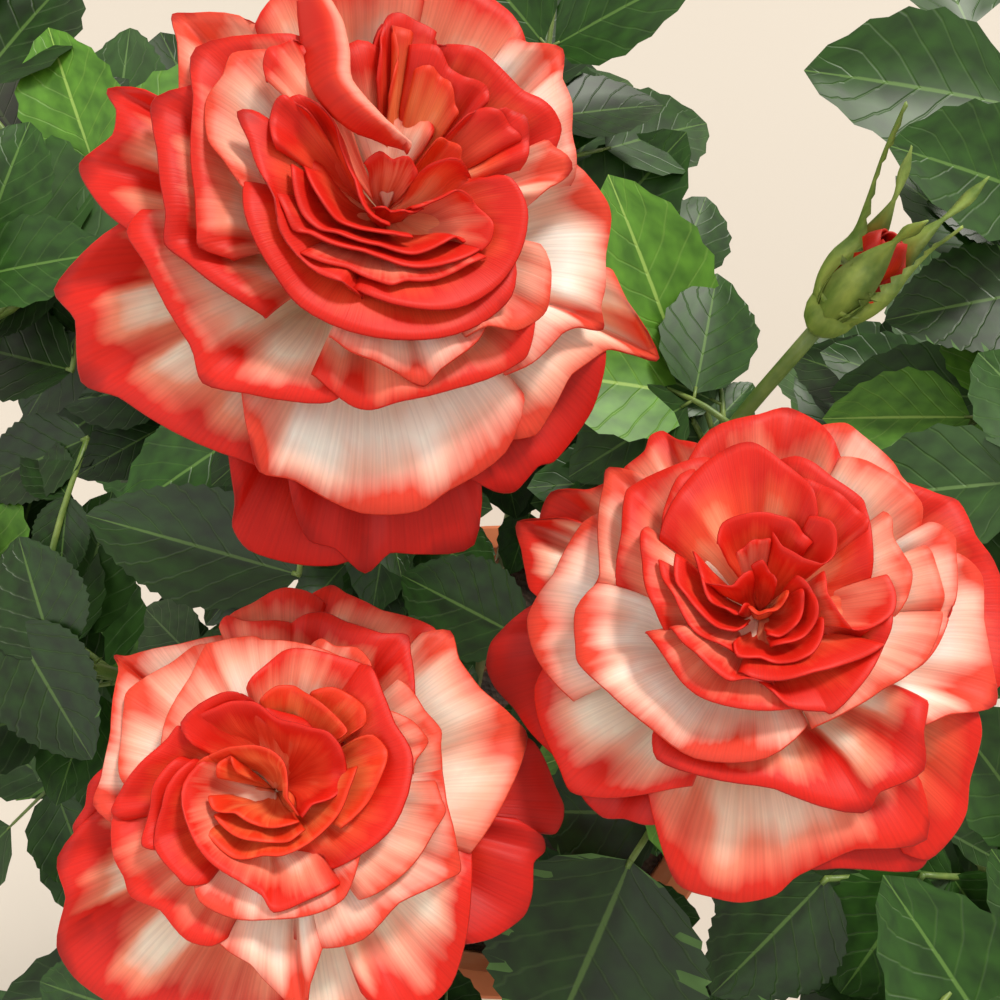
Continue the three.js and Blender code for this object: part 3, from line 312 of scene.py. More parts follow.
# Petal rims: angle in degrees and reach in mm on the bloom's dome, outermost first. A heart petal also has its lean
# in degrees and how far it is raised in mm.
bloomOne = {
    "name": "bloom_1", "centre": [-29, 107.5, 780], "axis": [0.306, -0.114, 0.945],
    "radius": 68, "height": 32, "power": 2.3, "cupAt": 75, "cup": 16,
    "eye": {"deep": 5, "wide": 24},
    "fold": {"low": [[120, 41.4], [125.5, 34.4], [132, 28], [138.5, 22.2], [141, 16.8], [137, 11.6], [116, 7.4],
        [86, 6.2]],
             "high": [[114, 36.3], [114, 31], [117, 25], [123, 19.6], [120.5, 14.5], [113.5, 10.3], [98, 7],
        [82, 5]]},
    # The salmon petals among the heart's red ones are paler pink: partly the petals' own paler backs, partly painted
    # highlight
    "heart": [
        ("salmon", [[148, 30], [144, 32.4], [140, 33.6], [136, 33.4], [132, 32.4], [128, 30.7], [125, 27]], 0, 2),
        ("red", [[106, 20], [103, 24], [101, 28], [97, 33], [90, 33.5], [80, 32.5]], 0, 1),
        ("orange", [[100, 17], [97, 21], [94, 25], [96, 31], [88, 31]], 0, 0.5),
        ("red", [[89, 28.3], [79, 28.8], [72, 26.5], [63, 25.5], [55, 28], [50, 25.8]], 0, 0),
        ("orange", [[86, 23], [78, 24], [70, 23], [62, 20.5], [56, 19]], 0, 0),
        ("red", [[52.5, 14.8], [51.5, 19.8], [49.5, 23], [42, 25.5], [35, 26.5], [29, 27.3]], 0, 0.5),
        ("salmon", [[222, 23.5], [232, 22], [244, 19.5], [259, 19.5], [268, 20], [278, 18.5], [296, 19], [315, 19.5],
         [328, 21]], 0, 0),
        ("red", [[193, 23], [203, 22.5], [212, 22.3], [217, 20], [230, 18], [247, 15.6], [265, 15], [286, 16],
         [302, 17], [317, 18.2], [333, 19.5]], 0, 0),
        ("red", [[178, 20], [186, 19.8], [205, 19.5], [218, 18], [228, 15.8], [255, 13], [272, 12.8], [288, 13.4],
         [308, 13.5], [324, 14.2], [333, 17]], 0, 0),
        ("red", [[162, 20], [172, 17.8], [184, 17], [199, 15.8], [216, 14.5], [228, 12.5], [245, 11], [268, 9.8],
         [290, 9.8]], 0, 0),
        ("red", [[153, 26], [144, 24], [142, 20], [145, 15], [159, 11], [184, 8.3], [227, 8.3], [262, 7.5]], 0, 0),
        ("salmon", [[-45, 4.5], [-15, 6.8], [3, 10.8], [-1, 14], [-7, 16], [-15, 19], [-24, 20], [-31, 19.5]], 0, 0),
        ("orange", [[57, 8], [56, 12], [48, 14], [37, 14.3], [28, 13]], 0, 0),
        ("salmon", [[150, 7.5], [125, 7], [100, 5.5], [70, 6], [40, 5]], 0, 0),
        ("red", [[225, 6], [250, 4.5], [290, 4.5], [335, 6]], 0, -1),
        ("red", [[172, 23], [170, 24], [161, 25.7], [153, 26.5], [149, 25.6], [148, 23], [148, 20]], 0, 0)],
    "petals": [
        ("dark", [[238, 52], [247, 63], [249, 68], [253, 71], [261, 71], [268, 70], [275, 66]]),
        ("dark", [[252, 52], [257, 60], [262, 66], [267, 67], [273, 71.5], [277, 67.5], [283, 68.5], [293, 69.5],
         [297, 54]]),
        ("dark", [[292, 54], [298, 60], [303, 62.5], [309, 60.5], [313, 62], [320, 61.5], [327, 60.5], [336, 57],
         [341, 56]]),
        ("horn", [[188, 46], [193, 56], [198, 64.5], [205, 62.5], [214, 66.5], [220, 62.5], [228, 60.5], [244, 57],
         [250, 56]]),
        ("horn", [[158, 50], [160, 58], [165, 54], [171, 53], [176, 58.5], [183, 55.5], [188, 52.5], [196, 46]]),
        ("peach", [[305, 52], [311, 54.5], [317, 52.5], [326, 50.5], [339, 56], [344, 65], [349, 76], [352, 58],
         [358, 52]]),
        ("peach", [[120, 38], [126, 39.5], [132, 43.5], [138, 52], [141, 56], [147, 50], [154, 45.7], [168, 40]]),
        ("salmon", [[50, 44], [57, 47], [64, 50], [74, 52], [86, 51], [96, 48], [103, 44]]),
        ("salmon", [[84, 44], [94, 47], [104, 49], [114, 48], [124, 45], [132, 42]]),
        ("white", [[232, 42], [244, 53], [249, 57.5], [256, 56.5], [270, 60], [281, 60], [288, 57], [302, 54],
         [313, 46]]),
        ("cream", [[188, 46], [194, 49.5], [203, 47.5], [222, 47.5], [230, 50.5], [239, 47], [247, 44.5], [257, 42],
         [262, 38]]),
        ("white", [[310, 40.5], [317, 42], [330, 43], [336, 46], [340.5, 52], [344, 49], [350, 49], [358, 48],
         [367, 49], [372, 47], [384, 40]]),
        ("white", [[16, 40], [24, 41], [30, 42.5], [36, 45], [43, 47], [49, 54], [55, 45], [60, 45]]),
        ("horn", [[152, 38], [162, 47.3], [169, 45.8], [177, 43.6], [192, 42.2], [199, 43.5], [206, 41], [221, 37],
         [230, 34.5]]),
        ("salmon", [[124, 34.5], [133, 37.5], [147, 45.8], [160, 40.5], [170, 38.5], [188, 36.8], [199, 37.6],
         [204, 38.2], [210, 33]]),
        ("salmon", [[250, 38], [262, 41.5], [268, 41.8], [276, 40], [292, 38.9], [311, 40], [316, 40], [326, 36],
         [341, 31]]),
        ("peach", [[132, 33], [139, 36], [145, 38.8], [152, 37.5], [160, 38], [173, 35], [180, 31.8], [188, 28.8],
         [196, 25]]),
        ("red", [[22, 34], [30, 38.7], [35, 38.2], [41, 36.5], [47, 34.5], [63, 33.5], [70, 32], [80, 30.5],
         [92, 30]]),
        ("white", [[250, 31], [258, 33], [266, 33.8], [274, 35.2], [282, 37.5], [287, 35.3], [294, 33.7], [303, 32.3],
         [311, 30]]),
        ("peach", [[300, 30.5], [308, 31], [317, 35], [328, 37], [333, 36], [342, 34], [350, 30]]),
        ("peach", [[364, 27], [370, 31], [377, 37.5], [384, 35], [388, 33]]),
        ("red", [[185, 28], [200, 29.3], [223, 29.6], [237, 30.3], [260, 30], [283, 29.7], [305, 29.8], [322, 29.5],
         [338, 26]]),
        ("red", [[158, 28], [163, 31.5], [172, 28], [185, 25.5], [197, 23.8], [211, 24.8], [234, 24], [246, 23],
         [257, 23]]),
        ("red", [[250, 22], [275, 23.8], [298, 25.5], [322, 26.2], [338, 26], [357, 25], [371, 22], [378, 18],
         [384, 13], [391, 9], [400, 6]]),
        ("red", [[19, 26], [28, 28.5], [37, 29.5], [43, 27], [45, 21]]),
        ("red", [[105, 20], [104, 27], [98, 32], [88, 33], [78, 31]]),
        ("salmon", [[62, 14], [76, 20], [92, 25], [110, 28], [128, 27]])]}

bloomTwo = {
    "name": "bloom_2", "centre": [59.3, 26, 743], "axis": [-0.124, 0.193, 0.973],
    "radius": 60, "height": 30, "power": 2.3, "cupAt": 75, "cup": 12,
    "eye": {"deep": 3, "wide": 20},
    # The salmon petals among the heart's red ones are paler pink: partly the petals' own paler backs, partly painted
    # highlight
    "heart": [
        ("salmon", [[160, 23], [171, 21.3], [185, 18.8], [209, 17.4], [226, 15.8], [240, 15]], 0, 0),
        ("red", [[131, 14], [118, 16.8], [100, 16.5], [82, 16.8], [68, 16.4], [54, 15.4], [46, 15.3]], 0, 0),
        ("salmon", [[8, 25], [-1, 25.8], [-12, 25], [-24, 21], [-28, 18], [-21, 14.2], [-6, 11.8], [18, 12.5]], 0, 0),
        ("red", [[154, 20], [174, 18.5], [185, 16.4], [198, 14.6], [220, 13.2], [231, 11.6], [237, 9]], 0, 0),
        ("red", [[58, 19], [47, 20], [38, 19], [27, 16], [24, 12.3], [38, 9.8], [67, 10], [80, 13]], 0, 0),
        ("red", [[236, 13.2], [244, 16], [260, 14.8], [272, 15.5], [286, 16], [298, 15.8], [312, 14.5],
         [330, 12.3]], 0, 0),
        ("red", [[269, 12], [283, 12], [303, 12], [325, 11.3], [345, 9.8], [360, 8.8], [386, 7]], 0, 0),
        ("red", [[148, 17], [158, 14.7], [173, 12.2], [175, 9.5], [168, 6.5], [120, 5]], 0, 0),
        ("red", [[166, 13.5], [189, 12], [207, 9.7], [220, 8], [211, 5.2]], 0, 0),
        ("salmon", [[123, 10], [108, 10.5], [92, 11.3], [80, 11.2]], 0, -1),
        ("red", [[266, 9.5], [279, 10.2], [299, 9.5], [317, 8.6], [343, 7.4], [361, 7]], 0, 0),
        ("orange", [[221, 5.2], [248, 5.7], [268, 5], [292, 4.5], [328, 4.2], [360, 4.3]], 0, 0),
        ("red", [[115, 6], [95, 6], [70, 3.6], [20, 2]], 0, 0)],
    "petals": [
        ("dark", [[172, 50], [177, 58], [180, 62], [185, 63.5], [190, 62], [197, 58.3], [205, 56.3], [212, 54]]),
        ("dark", [[216, 50], [221, 54], [225, 55], [230, 54.8], [234, 52.5], [239, 51.3], [245, 48]]),
        ("dark", [[268, 48], [277, 52.5], [284, 53.5], [291, 55.5], [300, 59.5], [304, 58.5], [308, 56.5]]),
        ("red", [[299, 55], [303, 59], [311, 58.3], [316, 57], [321, 53.5], [330, 51], [334, 49], [338, 46]]),
        ("red", [[340, 50], [346, 53.5], [354, 56], [362, 57], [375, 56.5], [381, 53.5], [390, 55], [394, 51],
         [405, 44]]),
        ("white", [[31, 42.5], [36, 44], [42, 45.5], [47, 48.3], [58, 50], [63, 51.3], [68, 48.5], [72, 44]]),
        ("salmon", [[98, 36], [105, 40.5], [110, 45], [112, 50.3], [116, 50], [120, 46.8], [127, 46.5], [133, 45]]),
        ("salmon", [[128, 42], [135, 47], [139, 50.5], [142, 59.5], [149, 58.5], [153, 54]]),
        ("cream", [[148, 46], [149, 55], [150, 65], [158, 58.5], [164, 55], [170, 52], [176, 45]]),
        ("salmon", [[232, 42], [242, 51], [250, 58.5], [257, 59], [263, 59], [270, 57], [275, 53.5], [288, 51],
         [304, 55.5], [311, 45]]),
        ("cream", [[190, 47], [196, 52], [202, 53.5], [215, 54.7], [221, 56], [227, 52.5], [234, 47.7], [241, 43.3],
         [246, 40.5]]),
        ("white", [[140, 40], [149, 44.5], [158, 45.5], [167, 46.5], [172, 49.5], [178, 52], [188, 50.5], [198, 47.5],
         [204, 45]]),
        ("white", [[316, 38], [322, 40.3], [328, 43], [338, 51.5], [347, 49.5], [358, 47.5], [369, 49], [374, 46.5],
         [379, 43]]),
        ("salmon", [[38, 33], [50, 38], [56, 38.5], [63, 42.5], [69, 47.5], [78, 50.8], [86, 46.5], [101, 43.5],
         [118, 33]]),
        ("horn", [[228, 36], [234, 40], [249, 38.8], [269, 38.3], [292, 45.4], [298, 43.4], [311, 45], [318, 40.2],
         [328, 38]]),
        ("peach", [[125, 38], [131, 48.7], [137, 45.5], [149, 40.5], [159, 37], [168, 35.2], [173, 36.4], [184, 33.7],
         [206, 27]]),
        ("peach", [[353, 27], [360, 30], [366, 31.7], [379, 37], [386, 40.3], [392, 42.3], [404, 42], [412, 41.5],
         [420, 40]]),
        ("white", [[328, 31], [335, 33.5], [343, 35.5], [354, 38], [361, 40], [374, 43], [380, 45.7], [384, 44],
         [387, 42]]),
        ("peach", [[338, 30.5], [344, 32.5], [350, 35.5], [357, 36.8], [363, 37.3], [374, 37.5], [380, 37.5]]),
        ("salmon", [[104, 36], [118, 36.3], [130, 38.8], [135, 39.3], [141, 37], [152, 33.3], [171, 31.2],
         [187, 27.5], [206, 24.5]]),
        ("white", [[170, 35], [180, 39.9], [191, 40.8], [197, 41.3], [210, 38.2], [227, 36.3], [244, 36.4],
         [266, 33.2], [284, 27]]),
        ("peach", [[285, 28], [301, 28], [316, 29], [323, 30.5], [331, 32.3], [338, 34], [345, 35], [352, 35.8],
         [357, 37]]),
        ("peach", [[-9, 26.6], [-2, 28.5], [5, 29.8], [12, 30.5], [24, 30], [30, 31.7], [36, 33]]),
        ("red", [[-6, 19.5], [7, 21.7], [24, 24.3], [38, 28], [44, 30.3], [58, 30.8], [66, 31.8], [74, 32.5],
         [82, 31.5]]),
        ("salmon", [[112, 33], [120, 32.3], [130, 29.5], [139, 27], [146, 25.5]]),
        ("salmon", [[144, 29], [150, 29], [157, 27.5], [164, 26], [180, 24.3], [190, 23], [207, 21.3]]),
        ("salmon", [[196, 26], [206, 25.5], [216, 25.5], [227, 26], [238, 26.2], [257, 25.3], [276, 24.5],
         [283, 24.7]]),
        ("red", [[262, 19], [268, 21.5], [275, 24.3], [290, 26.3], [293, 27.3], [306, 26], [325, 25], [341, 25.3],
         [356, 25.2]]),
        ("red", [[29, 24], [34, 26.5], [40, 26.8], [47, 26.3], [55, 26.5], [64, 27], [72, 27]]),
        ("red", [[50, 18], [62, 24], [70, 27], [80, 30.5], [90, 34.7], [100, 34], [119, 30], [127, 28.3], [148, 25]]),
        ("red", [[325, 17.5], [333, 20], [340, 22.3], [346, 23.8], [353, 25.6], [358, 25.9], [369, 24]]),
        ("salmon", [[200, 21.5], [210, 21], [222, 20.6], [243, 21.3], [252, 20], [270, 19.5]]),
        ("red", [[248, 18.5], [256, 19.3], [275, 19.6], [293, 19.5], [310, 21], [326, 24], [333, 25]])]}

bloomThree = {
    "name": "bloom_3", "centre": [-48.4, -10, 737.5], "axis": [-0.031, 0.085, 0.996],
    "radius": 58, "height": 28, "power": 2.3, "cupAt": 165, "cup": 10,
    "eye": {"deep": 2, "wide": 20},
    "heart": [
        ("orange", [[65, 21.3], [56, 24.4], [48, 25.4], [38, 26], [32, 24.5], [31, 20.8]], 0, 0),
        ("orange", [[27, 20.8], [25, 24.7], [17, 26.4], [11, 25.9], [2, 24], [-9, 21.9], [-25, 18.6]], 0, 0),
        ("orange", [[95, 17.3], [85, 20.3], [76, 21.2], [67, 20.6], [54, 20.4], [43, 20.4], [33, 20.5],
         [32, 18]], 0, 0),
        ("red", [[135, 20], [123, 18.7], [112, 18.4], [97, 17], [84, 14.4], [72, 13.7], [50, 15.2], [38, 17.4],
         [27, 18.1], [19, 18], [0, 16.7], [-9, 14.6], [-17, 11.8], [-32, 11]], 0, 1),
        ("orange", [[206, 13.7], [230, 13.4], [254, 14.2], [278, 13.2], [294, 14.3], [310, 15], [329, 16],
         [345, 17.4], [360, 18.5], [372, 20]], 0, 0),
        ("orange", [[205, 13.5], [187, 14.2], [174, 14.6], [161, 13.7], [148, 11.9]], 0, 0),
        ("orange", [[212, 10.3], [238, 10.1], [271, 10.3], [290, 11.3], [305, 12.6], [320, 12.7]], 0, 0),
        ("orange", [[190, 10.3], [206, 9.9], [230, 6.5], [262, 7], [285, 8], [305, 9.3], [322, 10.8]], 0, 0),
        ("orange", [[152, 12.4], [139, 10.8], [116, 8.7], [82, 7.6], [47, 6.8], [15, 6.2], [-19, 6.7],
         [-33, 10.2]], 0, 1),
        ("orange", [[168, 8.8], [150, 9.5], [135, 8.5], [150, 5.5]], 0, 0)],
    "petals": [
        ("dark", [[351, 50], [351.5, 57], [352, 61.5], [355, 63], [358, 63], [362, 61], [368, 59], [372, 57],
         [376, 52]]),
        ("dark", [[322, 51], [327, 55.7], [334, 59.6], [339, 59.4], [345, 57.8], [348, 59.7], [351, 58.5],
         [354, 52]]),
        ("salmon", [[43, 47], [48, 49.5], [52, 48.7], [62, 45.5], [68, 45.8], [75, 46.5], [80, 47.7], [87, 42.5],
         [92, 41]]),
        ("salmon", [[80, 43], [86, 45], [92, 45.5], [97, 44.5], [102, 42], [108, 40], [112, 37]]),
        ("dark", [[168, 33], [174, 36], [179, 38.4], [185, 39.5], [190, 42.7], [194, 43], [198, 41]]),
        ("cream", [[258, 48], [266, 53], [275, 55.5], [284, 57], [292, 57.5], [300, 55], [308, 49]]),
        ("horn", [[186, 36], [197, 47.6], [207, 48.3], [214, 57.7], [221, 58.5], [232, 55], [240, 54], [260, 51],
         [276, 44]]),
        ("cream", [[296, 45], [302, 54], [308, 55], [314, 54.7], [325, 50.6], [334, 47.2], [343, 44.3], [350, 42]]),
        ("peach", [[343, 44], [354, 48], [361, 50.8], [373, 56], [378, 54], [387, 49.5], [397, 48.8], [405, 51.7],
         [410, 46]]),
        ("white", [[112, 36], [126, 38], [140, 45], [143, 48.7], [145, 43.5], [161, 36.2], [176, 35.4], [185, 36.7],
         [195, 31]]),
        ("salmon", [[73, 31.5], [77, 33.5], [82, 35.5], [87, 36.3], [98, 36.3], [104, 37.5], [109, 39.8], [113, 38]]),
        ("horn", [[32, 35.5], [36, 37], [46, 41], [51, 43.7], [57, 40.3], [69, 39], [77, 39.8], [82, 38.5],
         [88, 36]]),
        ("peach", [[114, 34], [122, 35.5], [132, 35], [147, 37.5], [152, 36], [161, 33.3], [169, 31.8], [176, 30],
         [182, 28]]),
        ("peach", [[352, 34], [359, 36], [373, 37], [379, 38], [387, 36.3], [396, 36], [402, 35]]),
        ("white", [[276, 29], [291, 33], [306, 36], [322, 36], [334, 41.3], [338, 43.5], [344, 41.3], [356, 37.6],
         [368, 36.3]]),
        ("white", [[252, 30], [260, 31.5], [269, 33.5], [273, 37], [277, 40.5], [282, 44.5], [286, 39], [293, 33]]),
        ("salmon", [[186, 27], [190, 31], [204, 32.4], [212, 32.4], [219, 33.6], [231, 30.3], [245, 32], [254, 31.4],
         [259, 29]]),
        ("peach", [[49, 32], [52, 33.5], [60, 34.5], [67, 32.5], [73, 33], [77, 31]]),
        ("peach", [[313, 29.5], [320, 31.5], [334, 34.3], [346, 36], [353, 37.7], [357, 36.5], [363, 35]]),
        ("peach", [[366, 30.7], [371, 32], [376, 34.8], [379, 34.5], [385, 33], [394, 29]]),
        ("peach", [[62, 31], [78, 30.7], [95, 31.2], [99, 32.3], [113, 33], [117, 33.2], [127, 28.5], [146, 25],
         [165, 22]]),
        ("red", [[143, 19], [146, 21.5], [154, 22], [162, 23.2], [170, 25.2], [180, 28.4], [184, 30], [189, 31],
         [193, 29]]),
        ("salmon", [[44, 30.5], [50, 32.5], [65, 30.5], [80, 29.2], [86, 28], [92, 25.3], [97, 23], [104, 20.5]]),
        ("white", [[232, 20], [244, 24], [262, 25], [280, 25.2], [298, 27], [305, 27.5], [312, 27.5], [329, 24.5],
         [338, 24]]),
        ("red", [[292, 18], [313, 21.5], [330, 25], [345, 28.5], [371, 31.3], [386, 29.7], [399, 30.8], [410, 32.8],
         [416, 31]]),
        ("red", [[160, 18], [170, 19.5], [180, 20.8], [190, 21.8], [200, 23.8], [207, 25], [213, 22.5]]),
        ("red", [[158, 15], [170, 16.5], [180, 17.7], [192, 19], [204, 22], [210, 23], [228, 22.3], [236, 22.5],
         [243, 20.5]]),
        ("salmon", [[150, 12], [178, 14.8], [212, 14.8], [238, 16.2], [262, 17.8], [277, 20.5], [282, 24], [297, 24],
         [313, 25]]),
        ("red", [[20, 18], [45, 18], [60, 16], [80, 15.5], [95, 16.5], [104, 19], [115, 20.5], [143, 21],
         [150, 16]])]}

blooms = [bloomOne, bloomTwo, bloomThree]
hipDepth = 26
petalRows = 15
petalFootRadius = 4
petalFootDepth = -12
petalThickness = 0.35


# A bloom's own frame: two directions across it, its axis, and its centre
def bloomFrame(bloom):
    n = unit(np.array(bloom["axis"], float))
    v = unit(np.array([0, 1.0, 0]) - n * n[1])
    return {"u": np.cross(v, n), "v": v, "n": n, "centre": np.array(bloom["centre"], float)}


for bloom in blooms:
    bloom["frame"] = bloomFrame(bloom)
    bloom["foot"] = bloom["frame"]["centre"] - (hipDepth + gap) * bloom["frame"]["n"]
    bloom["under"] = bloom["foot"] - 60 * bloom["frame"]["n"]


def domeHeight(bloom, angle, reach):
    part = reach / bloom["radius"]
    lean = np.maximum(0, np.cos(np.radians(angle - bloom["cupAt"])))
    return bloom["height"] * (1 - part ** bloom["power"]) + bloom["cup"] * part ** 2 * lean ** 1.5


# Adds a mesh object from arrays, with vertices in mm and a UV for each vertex
def addPiece(title, vertices, faces, materials, uvName=None, uv=None, slots=None):
    name = title.replace(" ", "_")
    mesh = bpy.data.meshes.new(name)
    mesh.from_pydata((np.asarray(vertices) * mm).tolist(), [], faces)
    if uv is not None:
        layer = mesh.uv_layers.new(name=uvName)
        corners = np.empty(len(mesh.loops), dtype=np.int32)
        mesh.loops.foreach_get("vertex_index", corners)
        layer.data.foreach_set("uv", np.asarray(uv, dtype=np.float32)[corners].ravel())
    for material in materials:
        mesh.materials.append(material)
    if slots is not None:
        mesh.polygons.foreach_set("material_index", np.asarray(slots, dtype=np.int32))
    mesh.polygons.foreach_set("use_smooth", np.ones(len(mesh.polygons), dtype=bool))
    piece = bpy.data.objects.new(name, mesh)
    bpy.context.scene.collection.objects.link(piece)
    return piece


def gridFaces(rows, columns):
    return [[i * columns + j, i * columns + j + 1, (i + 1) * columns + j + 1, (i + 1) * columns + j]
            for i in range(rows) for j in range(columns - 1)]


# A tube's faces: quads between its rings, and one face to close each end
def tubeFaces(rings, sides):
    faces = []
    for i in range(rings - 1):
        for k in range(sides):
            a, b = i * sides + k, i * sides + (k + 1) % sides
            faces.append([a, b, b + sides, a + sides])
    return faces + [list(range(sides))[::-1], [(rings - 1) * sides + k for k in range(sides)]]


def settle(piece, slotName, *nodes):
    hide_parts(*nodes)
    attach(piece, "root")


def choose(piece):
    bpy.ops.object.select_all(action="DESELECT")
    piece.select_set(True)
    bpy.context.view_layer.objects.active = piece


def applyModifier(piece, name, kind, **settings):
    modifier = piece.modifiers.new(name, kind)
    for key, value in settings.items():
        setattr(modifier, key, value)
    choose(piece)
    bpy.ops.object.modifier_apply(modifier=name)


# Relief from clouds of noise, its size and depth in metres
def addRelief(piece, title, size, depth, middle, **settings):
    clouds = bpy.data.textures.new(title, "CLOUDS")
    clouds.noise_scale = size
    applyModifier(piece, "relief", "DISPLACE", texture=clouds, texture_coords="LOCAL", strength=depth,
                  mid_level=middle, **settings)


# Points between the rim's own, on an eased curve that keeps the corners
def smoothRim(rim, parts):
    points = np.array(rim, float)
    slopes = np.zeros_like(points)
    slopes[1:-1] = (points[2:] - points[:-2]) * 0.35
    out = []
    for k in range(len(points) - 1):
        for step in range(parts):
            w = step / parts
            out.append((2 * w ** 3 - 3 * w * w + 1) * points[k] + (w ** 3 - 2 * w * w + w) * slopes[k]
                       + (3 * w * w - 2 * w ** 3) * points[k + 1] + (w ** 3 - w * w) * slopes[k + 1])
    out.append(points[-1])
    return np.array(out)


def smoothStep(value, low, high):
    x = np.clip((value - low) / (high - low), 0, 1)
    return x * x * (3 - 2 * x)


# The sheet of one petal, from its foot to its rim, as rows of reach, turn and height about the bloom's axis
def petalSheet(bloom, name, order, look, rim, lean=0, raised=0, inner=False):
    line = smoothRim(rim, 4)
    angle, reach = line[:, 0], line[:, 1]
    columns = len(line)
    side = np.abs(np.linspace(-1, 1, columns))
    tuck = 4 * np.clip((side - 0.7) / 0.3, 0, 1) ** 2
    opened = smoothStep(reach, 12, 34)
    eye = bloom["eye"]
    sink = eye["deep"] * np.clip(1 - reach / eye["wide"], 0, 1) + 2 if inner else 0
    lift = 0.2 * min(order, len(bloom["petals"])) - sink - (0.3 * tuck if inner else tuck) + raised
    shake = numberStream(int(bloom["radius"]) * 100 + order)
    waves = 0.8 * np.sin(np.linspace(0, 2 * math.pi * (1.5 + shake()), columns) + 6 * shake())
    top = domeHeight(bloom, angle, reach) + lift + waves * (1 - side ** 4)
    # Inner petals rise steeply and lean out at the lip, outer ones lie open
    bendReach = np.maximum(2, reach * (0.97 - 0.3 * opened) - 3 * (1 - opened))
    bendTop = domeHeight(bloom, angle, bendReach) + lift - 3.5 - (0.1 * reach - 2.5) * opened
    t = (np.linspace(0, 1, petalRows + 1) ** 0.85)[:, None]
    # Petals near the heart fill it: their faces slope gently from the rim
    full = 1 if inner else 1 - float(smoothStep(reach.mean(), 28, 44))
    lowReach = reach * (0.55 - 0.2 * opened) + 2
    across = ((1 - t) ** 3 * (petalFootRadius - 3.5 * full) + 3 * (1 - t) ** 2 * t * lowReach
              + 3 * (1 - t) * t * t * bendReach + t ** 3 * reach)
    footTop = petalFootDepth + (top.mean() - 15 - petalFootDepth) * full
    lowTop = -6 + (bendTop - 2) * full
    rise = (1 - t) ** 3 * footTop + 3 * (1 - t) ** 2 * t * lowTop + 3 * (1 - t) * t * t * bendTop + t ** 3 * top
    folds = np.sin(np.radians(angle - angle[0]) * (5 + 3 * shake()) + 6 * shake())
    rise = rise + (1.5 if look == "dark" else 0.9) * folds * np.sin(math.pi * t) * opened
    # The rim turns over by a hair
    roll = 0.15 + 0.3 * opened
    across = np.vstack([across, reach + roll * (0.8 - 0.4 * opened), reach + roll * (0.9 - 1.0 * opened)])
    rise = np.vstack([rise, top - roll * (0.35 + 0.4 * opened), top - roll * (1.1 + 0.4 * opened)])
    t = np.vstack([t, [[1]], [[1]]])
    middle = 0.5 * (angle[0] + angle[-1])
    turn = middle + (angle - middle) * (0.55 + 0.45 * np.clip(t / 0.6, 0, 1) ** 0.7) + lean * (1 - t)
    return {"bloom": bloom, "name": name, "order": order, "look": look, "angle": angle, "reach": reach,
            "side": side, "across": across, "turn": np.radians(turn), "rise": rise, "inner": inner}


# The sheet of a fold that lies across a heart, between its two long edges
def foldSheet(bloom, name, order):
    low, high = (smoothRim(bloom["fold"][edge], 4) for edge in ("low", "high"))
    t = np.linspace(0, 1, petalRows + 1)[:, None]
    x, y = (low[:, 1] * wave(np.radians(low[:, 0])) * (1 - t) + high[:, 1] * wave(np.radians(high[:, 0])) * t
            for wave in (np.cos, np.sin))
    across, turn = np.hypot(x, y), np.arctan2(y, x)
    rise = domeHeight(bloom, np.degrees(turn), across) + 2 + 4 * t + 2.5 * np.sin(math.pi * t)
    # Its upper edge rolls over and down
    across, turn = (np.vstack([rows, rows[-1:], rows[-1:]]) for rows in (across, turn))
    rise = np.vstack([rise, rise[-1:] - 1.2, rise[-1:] - 3])
    return {"bloom": bloom, "name": name, "order": order, "look": "fold", "angle": high[:, 0], "reach": high[:, 1],
            "side": np.abs(np.linspace(-1, 1, len(high))), "across": across, "turn": turn, "rise": rise,
            "inner": False}


# Points between a sheet's own, along both its rows and its columns
def finer(sheet, parts):
    for _ in range(2):
        count = len(sheet)
        place = np.linspace(0, count - 1, (count - 1) * parts + 1)
        low = np.minimum(place.astype(int), count - 2)
        w = (place - low)[:, None]
        sheet = (sheet[low] * (1 - w) + sheet[low + 1] * w).T
    return sheet


# Petals press on the ones beneath: a sheet dips wherever an inner one would cut through it
def pressSheets(sheets):
    cells, half = 400, 100
    lowest = np.full((cells, cells), 1000.0)

    def cellOf(value):
        return np.clip((value + half) * cells / (2 * half), 0, cells - 1).astype(int)

    for sheet in reversed(sheets):
        x, y = sheet["across"] * np.cos(sheet["turn"]), sheet["across"] * np.sin(sheet["turn"])
        over = sheet["rise"] - lowest[cellOf(x), cellOf(y)] + 0.5
        dip = np.maximum(0, over) * smoothStep(sheet["across"], 12, 18)
        for k in range(5):
            padded = np.pad(dip, 1, mode="edge")
            around = (padded[:-2, 1:-1] + padded[2:, 1:-1] + padded[1:-1, :-2] + padded[1:-1, 2:]) / 4
            dip = np.maximum(dip, around) if k < 4 else 0.5 * (dip + around)
        sheet["rise"] = sheet["rise"] - dip
        place = cellOf(finer(x, 8)), cellOf(finer(y, 8))
        np.minimum.at(lowest, place, finer(sheet["rise"], 8))


